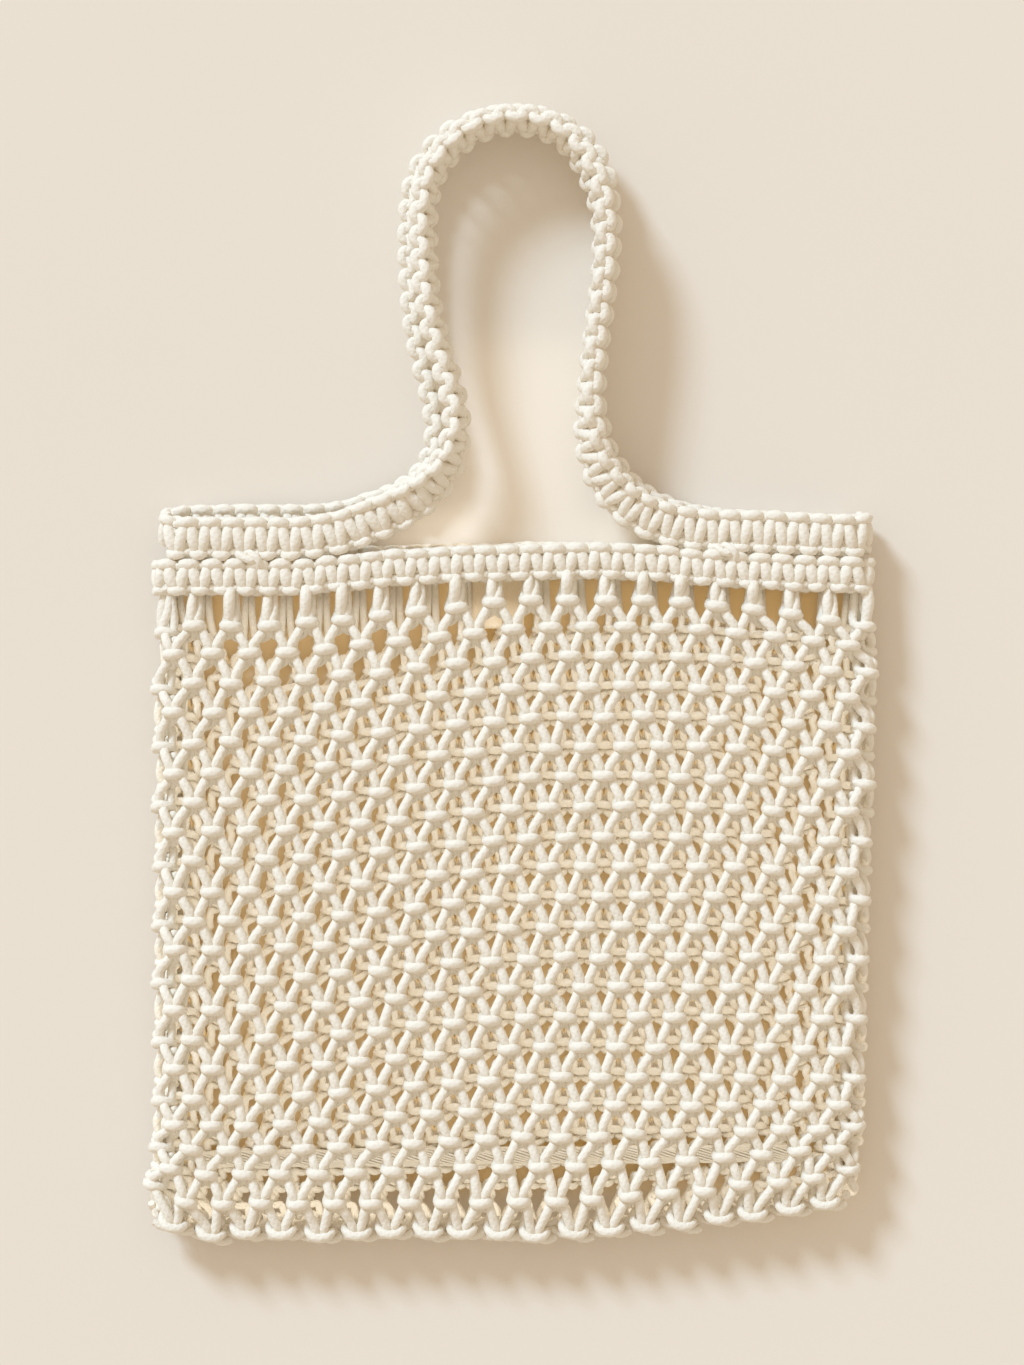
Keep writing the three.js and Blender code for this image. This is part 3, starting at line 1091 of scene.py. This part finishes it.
    def _surface(self, u: float, row: float) -> np.ndarray:
        """Find a place on the net's middle surface.

        Args:
            u: Column.
            row: Row, 1 at the top.

        Returns:
            The x, y and z of the place.
        """
        flat_y = self.first_row - self.row_gap * (row - 1)
        top = self.first_drop * min(max(2.0 - row, 0.0), 1.0)
        flat_y -= top + self.last_drop * eased_over(row, self.last_rows)
        x, z, front = self._ring(u, flat_y)
        back = 1.0 - front
        from_fold = abs(abs(self._turned(u) - self.columns / 2) - self.columns / 4)
        inward = eased_over(from_fold, self.fold_columns)
        sag = self.back_drop - self.back_arch * (x / self.back_arch_reach) ** 2
        sag *= inward
        sag *= 1.0 - eased_over(row, self.back_drop_end)
        drop = (sag - self.back_close * eased_over(row, self.back_close_rows)) * back
        aside = self.back_aside * back * inward * ease((self.back_aside_end - row) / self.back_aside_rows)
        return np.array([x + aside, flat_y - self.bow.drop(x, row) - drop, z + self.back_lift * back])

    def _knot(self, row: int, column: int) -> Knot:
        """Set one knot, a little out of line as hand-tied knots are.

        Args:
            row: Row, 1 at the top.
            column: Column before the row's own offset.

        Returns:
            The knot.
        """
        u = column + self._offset(row)
        place = self._surface(u, row)
        right = self._surface(u + self.look_aside, row) - self._surface(u - self.look_aside, row)
        right[1] *= self.slope_share
        up = self._surface(u, row - self.look_along) - self._surface(u, row + self.look_along)
        out = unit(np.cross(right, up))
        right = unit(right)
        up = unit(np.cross(out, right))
        loose = np.clip(self.rng.normal(0.0, 1.0, 4), -self.most_loose, self.most_loose)
        if row > self.rows:
            loose = loose * np.array(self.closing_looseness)
        tilt = math.radians(self.knot_turn) * loose[3]
        turned_right = math.cos(tilt) * right + math.sin(tilt) * up
        turned_up = math.cos(tilt) * up - math.sin(tilt) * right
        shift = self.knot_aside * loose[0] * right + self.knot_along * loose[1] * up
        wave = self.knot_out * max(loose[2], self.knot_least_out) if self._wall(u) is Wall.FRONT else 0.0
        return Knot(place + shift + wave * out, turned_right, turned_up, out)

    def _hanging(self, role: Role, knot: Knot, column: int) -> np.ndarray:
        """Lead a cord from the band down to the first row.

        Args:
            role: What the cord does in the first knot.
            knot: The first knot.
            column: Its column.

        Returns:
            Rows of right, up, out and share of radius, from the band down.
        """
        u = self._turned(column + self._offset(1))
        front = self._wall(u) is Wall.FRONT
        rise = band_height(float(knot.place[0]), front) - float(knot.place[1])
        drop = rise - self.hang_end - self.hang_start
        over = role is Role.LEFT_EAR and self._hangs_over(u)
        steps = HANGING_OVER_WAY if over else HANGING_WAY[role]
        rows = []
        for right, below, share, out, thick in steps:
            rows.append((right, rise - (self.hang_start + below + share * drop), out, thick))
        return np.array(rows)

    def _way(self, role: Role, row: int, knot: Knot) -> np.ndarray:
        """Choose a cord's way through a knot.

        Args:
            role: What the cord does in the knot.
            row: The knot's row.
            knot: The knot.

        Returns:
            Rows of right, up, out and share of radius, with the ends tucked in short at the folds.
        """
        if row > self.rows:
            at_fold = abs(knot.out[2]) < self.fold_facing
            return CLOSING_WAY[role][:-2] if at_fold else CLOSING_WAY[role]
        return KNOT_WAY[role][1:] if row == 1 else KNOT_WAY[role]

    def _straighten(self, above: np.ndarray, below: np.ndarray, out: np.ndarray) -> None:
        """Draw the two ends of a front leg toward the straight line from knot to knot.

        Args:
            above: Way through the upper knot, whose last point is moved.
            below: Way through the lower knot, whose first point is moved.
            out: The way that the net faces, in which nothing moves.
        """
        start = above[-2, :3].copy()
        span = below[1, :3] - start
        for point, share in zip((above[-1], below[0]), self.leg_shares):
            off = start + share * span - point[:3]
            point[:3] += self.straightness * (off - np.dot(off, out) * out)

    def _strand(self, column: int, role: Role) -> Strand:
        """Follow one cord from the band to the bottom edge.

        Args:
            column: Column of its first knot.
            role: What it does there.

        Returns:
            The run of cord.
        """
        first = self.knots[(1, column)]
        level = unit(first.right * np.array([1.0, 0.0, 1.0]))
        plumb = Knot(first.place, level, unit(np.cross(first.out, level)), first.out)
        runs = [plumb.set_in(self._hanging(role, first, column))]
        start = column + self._offset(1)
        over = role is Role.LEFT_EAR and self._hangs_over(self._turned(start))
        leg = False
        above = 1.0
        for row in range(1, self.rows + 2):
            knot = self.knots[(row, column)]
            way = self._way(role, row, knot).copy()
            if row == 1 and over:
                way[0, 0] = self.hung_over_right
            straight = leg
            leg = role in (Role.BAR, Role.BEHIND)
            side, role = NEXT_ROLE[role]
            if row % 2:
                column = column if side < 0 else (column + 1) % self.columns
            else:
                column = (column - 1) % self.columns if side < 0 else column
            below = 1.0
            if row <= self.rows:
                gap = knot.place - self.knots[(row + 1, column)].place
                below = min(float(np.linalg.norm(gap)) / self.leg_length, self.most_stretch)
            way[0, 1] *= above
            way[-1, 1] *= below
            runs.append(knot.set_in(way))
            if straight:
                self._straighten(runs[-2], runs[-1], knot.out)
            above = below
        line = np.concatenate(runs)
        line[:, 3] *= self.cord if self._wall(start) is Wall.FRONT else self.back_cord
        return Strand(line)

    def build(self, sweep: CordSweep, finish: bpy.types.Material) -> list[bpy.types.Object]:
        """Make the net's pieces.

        Args:
            sweep: The tree that makes cord.
            finish: The cotton.

        Returns:
            The pieces: the yarn inside the bottom, then left and right of the front and of the back.
        """
        groups: dict[tuple[Wall, str], list[Strand]] = {}
        for column in range(self.columns):
            u = self._turned(column + self._offset(1))
            wall = self._wall(u)
            half = "left" if (u < 0.0 or u > self.columns / 2) else "right"
            for role in Role:
                strand = self._strand(column, role).smoothed(NET_FACETS[wall])
                groups.setdefault((wall, half), []).append(strand)
        yarn = BottomYarn()
        pieces = [sweep.piece("net_bottom_yarn", yarn.strands(), yarn.sides, finish)]
        for (wall, half), strands in groups.items():
            name = f"net_{wall.value}_{half}"
            pieces.append(sweep.piece(name, strands, NET_FACETS[wall].sides, finish))
        return pieces


@dataclass
class StrapPath:
    """Middle line of a flat strap, with its face at each step and its width as a share of the usual."""

    places: np.ndarray
    wide: np.ndarray
    out: np.ndarray
    closed: bool = False
    marks: np.ndarray = field(init=False)

    def __post_init__(self) -> None:
        """Measure along the strap."""
        if self.closed:
            self.places = np.concatenate([self.places, self.places[:1]])
            self.wide = np.concatenate([self.wide, self.wide[:1]])
            self.out = np.concatenate([self.out, self.out[:1]])
        self.marks = walked(self.places)

    @property
    def length(self) -> float:
        """Length of the strap."""
        return float(self.marks[-1])

    def _read(self, table: np.ndarray, s: np.ndarray) -> np.ndarray:
        """Return the rows of a table at marks along the strap."""
        return np.stack([np.interp(s, self.marks, table[:, k]) for k in range(3)], axis=1)

    def spread(self, way: np.ndarray) -> np.ndarray:
        """Lay a way on the strap.

        Args:
            way: Rows of along, across, out and radius.

        Returns:
            Rows of x, y, z and radius.
        """
        s = np.mod(way[:, 0], self.length) if self.closed else np.clip(way[:, 0], 0.0, self.length)
        wide = self._read(self.wide, s)
        out = unit(self._read(self.out, s))
        places = self._read(self.places, s) + way[:, 1:2] * wide + way[:, 2:3] * out
        return np.concatenate([places, way[:, 3:4]], axis=1)


# One repeat of a row of square knots: along in bars, across, out, radius.
FACE_CORD = np.array([
    (-0.24, -5.0, 0.9, 2.6),
    (-0.12, -2.6, 1.6, 3.15),
    (0.00, 0.3, 1.8, 3.3),
    (0.12, 3.0, 1.6, 3.15),
    (0.23, 5.5, 0.7, 2.6),
    (0.36, 6.0, -0.2, 1.9),
    (0.50, 6.1, -0.6, 1.9),
    (0.64, 6.0, -0.2, 1.9),
    (0.77, 5.5, 0.7, 2.6),
    (0.88, 3.0, 1.6, 3.15),
    (1.00, 0.3, 1.8, 3.3),
    (1.12, -2.6, 1.6, 3.15),
    (1.24, -5.0, 0.9, 2.6),
    (1.36, -5.8, -0.3, 1.9),
    (1.50, -6.0, -0.7, 1.9),
    (1.64, -5.8, -0.3, 1.9),
])
EDGE_CORD = np.array([
    (-0.16, 6.6, -0.7, 2.3),
    (-0.03, 7.1, 1.4, 2.7),
    (0.28, 7.3, 2.4, 2.9),
    (0.72, 7.3, 2.5, 2.9),
    (1.03, 7.1, 1.6, 2.7),
    (1.16, 6.6, -0.5, 2.3),
    (1.06, 4.5, -0.8, 1.7),
    (0.94, -4.5, -0.8, 1.7),
    (0.86, -6.2, -0.5, 1.9),
    (1.04, -7.1, 1.3, 2.35),
    (1.26, -7.5, 2.1, 2.55),
    (1.50, -7.7, 2.3, 2.6),
    (1.74, -7.5, 2.1, 2.55),
    (1.96, -7.1, 1.3, 2.35),
    (2.14, -6.2, -0.5, 1.9),
    (2.06, -4.5, -0.8, 1.7),
    (1.94, 4.5, -0.8, 1.7),
])
# Twisted links that tie a handle to the band: right, up, out, radius.
LINK_WAYS = (
    np.array([
        (-6.2, 3.6, -0.5, 1.7),
        (-4.6, 1.6, 2.2, 1.9),
        (-1.2, -0.6, 3.6, 2.0),
        (2.0, -0.8, 3.4, 2.0),
        (3.6, 1.4, 1.6, 1.9),
        (3.0, 3.4, -0.8, 1.7),
    ]),
    np.array([
        (-2.6, 3.8, -0.5, 1.7),
        (0.4, 2.6, 2.6, 1.9),
        (3.4, 0.2, 4.2, 2.0),
        (4.8, -2.6, 3.2, 2.0),
        (3.4, -5.2, 0.6, 1.8),
    ]),
)
LINK_PLACES = ((-131.0, 56.8, 25.6), (107.0, 60.4, 25.6))


@dataclass
class KnottedStrap:
    """A flat strap of square knots along a path: bars on its face and bumps along both edges."""

    name: str
    node: str
    path: StrapPath
    bar_pitch: float = 5.75
    looseness: float = 0.16
    loose_ways: tuple[float, float, float] = (1.0, 1.0, 0.4)
    most_loose: float = 1.6
    core: float = 1.5
    core_aside: float = 2.2
    links: tuple[tuple[float, float, float], ...] = ()
    seed: int = 3

    def strands(self) -> list[Strand]:
        """Lay the face and edge cords of both sides, half a knot apart, and the two cores.

        Returns:
            The runs of cord, with the links last.
        """
        repeats = int(round(self.path.length / (2 * self.bar_pitch)))
        pitch = self.path.length / (2 * repeats)
        rng = np.random.default_rng(self.seed)
        made = []
        for repeat_way, face in ((FACE_CORD, 1), (EDGE_CORD, 1), (FACE_CORD, -1), (EDGE_CORD, -1)):
            way = np.concatenate([repeat_way + np.array([2.0 * k, 0, 0, 0]) for k in range(repeats)])
            way[:, 0] = (way[:, 0] + 1.0 - 0.5 * face) * pitch
            way[:, 2] *= face
            loose = np.clip(rng.normal(0.0, 1.0, (len(way), 3)), -self.most_loose, self.most_loose)
            way[:, 0:3] += self.looseness * loose * self.loose_ways
            if not self.path.closed:
                way = way[(way[:, 0] >= 0.0) & (way[:, 0] <= self.path.length)]
            made.append(Strand(self.path.spread(way), self.path.closed).smoothed(STRAP_FACETS))
        marks = np.linspace(0.0, self.path.length, repeats * 2, endpoint=not self.path.closed)
        for across in (-self.core_aside, self.core_aside):
            core = np.stack([marks, np.full_like(marks, across), 0 * marks, 0 * marks + self.core], axis=1)
            made.append(Strand(self.path.spread(core), self.path.closed))
        for place in self.links:
            for link in LINK_WAYS:
                made.append(Strand(link + np.array([*place, 0.0])).smoothed(LINK_FACETS))
        return made

    def build(self, sweep: CordSweep, finish: bpy.types.Material) -> bpy.types.Object:
        """Return the strap as one piece."""
        return sweep.piece(self.name, self.strands(), STRAP_FACETS.sides, finish)


@dataclass
class HandleCourse:
    """Course of a handle from the middle of the left fold to the middle of the right fold.

    Its table has rows of x, y, z and lean, and its level is the height of its middle on its wall.
    """

    table: np.ndarray
    level: float
    upper: bool
    bend: float = 9.7
    meeting_y: float = 70.2
    width: float = 1.12
    narrowing: float = 0.12
    fine: int = 10
    fold_step: float = 6.0

    @property
    def facing(self) -> float:
        """One for a strap that faces up on its wall, and minus one for a strap that faces down."""
        return 1.0 if self.upper else -1.0

    def _fold(self, end: np.ndarray, side: float) -> tuple[np.ndarray, np.ndarray]:
        """Turn an end of the strap round its fold.

        Args:
            end: The row of the table where the fold begins.
            side: Minus one at the left fold and one at the right fold.

        Returns:
            The places and the faces of the quarter turn, from the middle of the fold.
        """
        turns = np.radians(np.arange(0.0, RIGHT_ANGLE, self.fold_step))
        left_to_go = 1.0 - np.sin(turns)
        places = np.stack(
            [
                end[0] + side * self.bend * np.cos(turns),
                end[1] + (self.meeting_y - end[1]) * left_to_go,
                self.level - self.facing * self.bend * left_to_go,
            ],
            axis=1,
        )
        faces = np.stack([side * np.cos(turns), 0 * turns, self.facing * np.sin(turns)], axis=1)
        return places, faces

    def path(self) -> StrapPath:
        """Lay out the handle.

        Returns:
            The path, facing outward.
        """
        fine = curve_through(self.table, self.fine, False)
        ahead = np.gradient(fine[:, :3], axis=0)
        lean = np.radians(fine[:, 3:4])
        aside = unit(np.cross(UP, ahead))
        wide = unit(np.cos(lean) * aside + np.sin(lean) * UP)
        out = self.facing * unit(np.cross(ahead, wide))
        share = self.width - self.narrowing * np.sin(lean) ** 2
        wide = unit(np.cross(out, ahead)) * self.facing * share
        first, first_out = self._fold(self.table[0], -1.0)
        last, last_out = self._fold(self.table[-1], 1.0)
        upright = np.tile(np.array([0.0, self.width, 0.0]), (len(first), 1))
        return StrapPath(
            np.concatenate([first, fine[:, :3], last[::-1]]),
            np.concatenate([upright, wide, upright]),
            np.concatenate([first_out, out, last_out[::-1]]),
        )


@dataclass
class BandCourse:
    """Closed course of the band: the front, the right fold, the back and the left fold."""

    left: float = -181.6
    right: float = 182.6
    thick: float = 9.4
    width: float = 0.9
    steps: int = 120
    fold_step: float = 10.0
    fold_arc: float = 165.0
    right_fold: float = 80.0
    left_fold: float = 260.0

    @property
    def radius(self) -> float:
        """Radius of the middle line at a fold."""
        return (FRONT_LEVEL - BACK_LEVEL) / 2

    def _run(self, start: float, end: float, front: bool) -> list[tuple[float, ...]]:
        """Cross a wall.

        Args:
            start: The x where it starts.
            end: The x where it ends.
            front: True on the front wall.

        Returns:
            Rows of the place and the face.
        """
        level, face = (FRONT_LEVEL, 1.0) if front else (BACK_LEVEL, -1.0)
        marks = np.linspace(start, end, self.steps)
        return [(x, band_height(x, front), level, 0.0, 0.0, face) for x in marks]

    def _fold(self, middle_x: float, first: float) -> list[tuple[float, ...]]:
        """Turn round a fold.

        Args:
            middle_x: The x that it turns about.
            first: Degrees of its first step.

        Returns:
            Rows of the place and the face.
        """
        middle_z = (FRONT_LEVEL + BACK_LEVEL) / 2
        rows = []
        for turn in np.radians(np.arange(first, first - self.fold_arc, -self.fold_step)):
            x = middle_x + self.radius * math.cos(turn)
            z = middle_z + self.radius * math.sin(turn)
            rows.append((x, band_height(x, True), z, math.cos(turn), 0.0, math.sin(turn)))
        return rows

    def path(self) -> StrapPath:
        """Lay out the band.

        Returns:
            The closed path, facing outward.
        """
        left_x = self.left + self.thick / 2 + self.radius
        right_x = self.right - self.thick / 2 - self.radius
        rows = self._run(left_x, right_x, True)
        rows += self._fold(right_x, self.right_fold)
        rows += self._run(right_x, left_x, False)
        rows += self._fold(left_x, self.left_fold)
        course = np.array(rows)
        wide = np.tile(np.array([0.0, self.width, 0.0]), (len(rows), 1))
        return StrapPath(course[:, :3], wide, course[:, 3:], closed=True)


@dataclass
class ClothLabel:
    """The plain tab sewn to the inside of the back band."""

    left: float = -20.0
    right: float = 6.0
    thick: float = 0.7
    across: int = 12
    down: int = 20
    curl: float = 0.8
    ripple: float = 0.15
    ripple_across: float = 7.0
    ripple_down: float = 3.0

    def build(self, finish: bpy.types.Material) -> bpy.types.Object:
        """Make a thin sheet that falls over the net and curls at its sides.

        Args:
            finish: The cloth.

        Returns:
            The label.
        """
        walk = walked(LABEL_FALL)
        marks = np.linspace(0.0, walk[-1], self.down + 1)
        fall_y = np.interp(marks, walk, LABEL_FALL[:, 0])
        fall_z = np.interp(marks, walk, LABEL_FALL[:, 1])
        points = []
        for row in range(self.down + 1):
            drop = row / self.down
            for column in range(self.across + 1):
                side = 2.0 * column / self.across - 1.0
                x = self.left + (self.right - self.left) * column / self.across
                wave = self.ripple * math.sin(self.ripple_across * side + self.ripple_down * drop)
                lift = self.curl * drop * drop * side * side + wave
                points.append((x, fall_y[row], fall_z[row] + lift))
        faces = []
        for row in range(self.down):
            for column in range(self.across):
                corner = row * (self.across + 1) + column
                below = corner + self.across + 1
                faces.append((corner, below, below + 1, corner + 1))
        mesh = bpy.data.meshes.new("inner_label_cloth")
        mesh.from_pydata([tuple(p) for p in in_metres(np.array(points))], [], faces)
        mesh.materials.append(finish)
        mesh.polygons.foreach_set("use_smooth", [True] * len(mesh.polygons))
        label = bpy.data.objects.new("inner_label_cloth", mesh)
        bpy.context.collection.objects.link(label)
        solid = label.modifiers.new("thickness", "SOLIDIFY")
        solid.thickness = self.thick * MILLIMETRE
        solid.offset = 0.0
        return label

    @property
    def flat_size(self) -> tuple[float, float]:
        """Width and length of the cut cloth, in metres."""
        fall = float(np.sum(np.linalg.norm(np.diff(LABEL_FALL, axis=0), axis=1)))
        return (self.right - self.left) * MILLIMETRE, fall * MILLIMETRE


@dataclass(frozen=True)
class SoftLamp:
    """A flat lamp low in the bag or in its hand loop, for the light that cotton passes on.

    Its size and place are in metres and its power in watts.
    """

    name: str
    power: float
    colour: Colour
    size: tuple[float, float]
    place: tuple[float, float, float]
    upward: bool = False
    on_floor: bool = False

    def build(self, bag: bpy.types.Collection) -> None:
        """Set the lamp, unseen by the camera, to light the bag alone or the floor too.

        Args:
            bag: The bag's pieces.
        """
        lamp = bpy.data.lights.new(self.name, "AREA")
        lamp.shape = "RECTANGLE"
        lamp.size, lamp.size_y = self.size
        lamp.energy = self.power
        lamp.color = self.colour
        inner = bpy.data.objects.new(self.name, lamp)
        inner.location = self.place
        inner.rotation_euler = (math.pi if self.upward else 0.0, 0.0, 0.0)
        inner.visible_camera = False
        if not self.on_floor:
            inner.light_linking.receiver_collection = bag
        bpy.context.collection.objects.link(inner)


FOLD_LIGHT: Colour = (1.0, 0.9, 0.72)
LOOP_LIGHT: Colour = (1.0, 0.91, 0.77)
CORNER_LIGHT: Colour = (1.0, 0.94, 0.84)
SOFT_LAMPS = (
    SoftLamp("inner_fill", 0.126, (1.0, 0.975, 0.92), (0.344, 0.31), (0.0, -0.121, 0.0162)),
    SoftLamp("inner_edge_fill", 0.0032, (1.0, 0.93, 0.81), (0.25, 0.016), (-0.04, -0.272, 0.0155)),
    SoftLamp("inner_left_fill", 0.0022, FOLD_LIGHT, (0.01, 0.3), (-0.1775, -0.125, 0.0165)),
    SoftLamp("inner_right_fill", 0.0022, FOLD_LIGHT, (0.01, 0.3), (0.1745, -0.125, 0.0165)),
    SoftLamp("inner_lift", 0.08, (1.0, 0.98, 0.93), (0.35, 0.3), (0.0, -0.124, 0.0135), upward=True),
    SoftLamp("loop_fill", 0.0037, LOOP_LIGHT, (0.066, 0.11), (0.004, 0.113, 0.012), on_floor=True),
    SoftLamp("loop_left_fill", 0.0014, CORNER_LIGHT, (0.055, 0.018), (-0.047, 0.073, 0.01), on_floor=True),
    SoftLamp("loop_right_fill", 0.0005, LOOP_LIGHT, (0.035, 0.014), (0.057, 0.071, 0.01), on_floor=True),
    SoftLamp("inner_glow", 0.098, (1.0, 0.54, 0.02), (0.34, 0.319), (0.0, -0.1045, 0.0062), on_floor=True),
)


@dataclass(frozen=True)
class Studio:
    """Pale floor, a soft key from the upper left, a warm surround and a camera straight above."""

    floor_size: float = 4.0
    sun_elevation: float = 31.5
    sun_aside: tuple[float, float] = (-0.6, 0.8)
    sun_angle: float = 14.0
    sun_strength: float = 2.65
    sun_colour: Colour = (0.617, 0.798, 1.0)
    sky_colour: Colour = (0.752, 0.645, 0.518)
    sky_strength: float = 1.0
    lamps: tuple[SoftLamp, ...] = SOFT_LAMPS
    light_bounces: int = 8
    camera_height: float = 1.625
    camera_y: float = -0.0054
    camera_reach: float = 50.0
    lens: float = 56.2
    sensor: float = 24.0

    def build(self, bag: bpy.types.Collection) -> None:
        """Make the floor, the light and the camera.

        Args:
            bag: The bag's pieces, which some lamps light alone.
        """
        half = self.floor_size / 2
        mesh = bpy.data.meshes.new("floor")
        corners = [(-half, -half, 0.0), (half, -half, 0.0), (half, half, 0.0), (-half, half, 0.0)]
        mesh.from_pydata(corners, [], [(0, 1, 2, 3)])
        mesh.materials.append(FloorFinish().build())
        floor = bpy.data.objects.new("floor", mesh)
        bpy.context.collection.objects.link(floor)
        self._light()
        for lamp in self.lamps:
            lamp.build(bag)
        self._camera()

    def _light(self) -> None:
        """Set the key light and the surround."""
        sun = bpy.data.lights.new("key", "SUN")
        sun.energy = self.sun_strength
        sun.color = self.sun_colour
        sun.angle = math.radians(self.sun_angle)
        key = bpy.data.objects.new("key", sun)
        bpy.context.collection.objects.link(key)
        azimuth = math.atan2(self.sun_aside[1], self.sun_aside[0])
        key.rotation_euler = (0.0, math.radians(RIGHT_ANGLE - self.sun_elevation), azimuth)
        world = bpy.data.worlds.new("surround")
        bpy.context.scene.world = world
        world.use_nodes = True
        background = world.node_tree.nodes["Background"]
        background.inputs["Color"].default_value = (*self.sky_colour, 1.0)
        background.inputs["Strength"].default_value = self.sky_strength
        bpy.context.scene.cycles.diffuse_bounces = self.light_bounces

    def _camera(self) -> None:
        """Set the camera straight above the bag."""
        lens = bpy.data.cameras.new("camera")
        lens.sensor_fit = "VERTICAL"
        lens.sensor_height = self.sensor
        lens.lens = self.lens
        lens.clip_end = self.camera_reach
        camera = bpy.data.objects.new("camera", lens)
        camera.location = (0.0, self.camera_y, self.camera_height)
        bpy.context.collection.objects.link(camera)
        bpy.context.scene.camera = camera
        bpy.context.scene.view_settings.view_transform = "Standard"


def settle(piece: bpy.types.Object, node: str, bag: bpy.types.Collection) -> None:
    """Let a piece ride on the bag and stand for its solid.

    Args:
        piece: The piece.
        node: The solid that it stands for.
        bag: The bag's pieces, which it joins.
    """
    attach(piece, BODY)
    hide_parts(node)
    bag.objects.link(piece)
    LOG.info("%s: %d faces, stands for %s", piece.name, len(piece.data.polygons), node)


def main() -> None:
    """Build the bag piece by piece and light it."""
    logging.basicConfig(level=logging.INFO, format="%(name)s %(message)s")
    bag = bpy.data.collections.new("bag")
    Studio().build(bag)
    cotton = CottonFinish().build()
    sweep = CordSweep()
    for piece in NetPouch().build(sweep, cotton):
        settle(piece, "net_pouch", bag)
    front = HandleCourse(FRONT_HANDLE, FRONT_LEVEL, True)
    back = HandleCourse(BACK_HANDLE, BACK_LEVEL, False)
    straps = (
        KnottedStrap("band_of_knots", "mouth_band", BandCourse().path(), seed=3),
        KnottedStrap("front_handle_strap", "front_handle", front.path(), links=LINK_PLACES, seed=4),
        KnottedStrap("back_handle_strap", "back_handle", back.path(), seed=5),
    )
    for strap in straps:
        settle(strap.build(sweep, cotton), strap.node, bag)
    label = ClothLabel()
    tab = label.build(LabelFinish().build())
    settle(tab, "inner_label", bag)


if __name__ == "__main__":
    main()
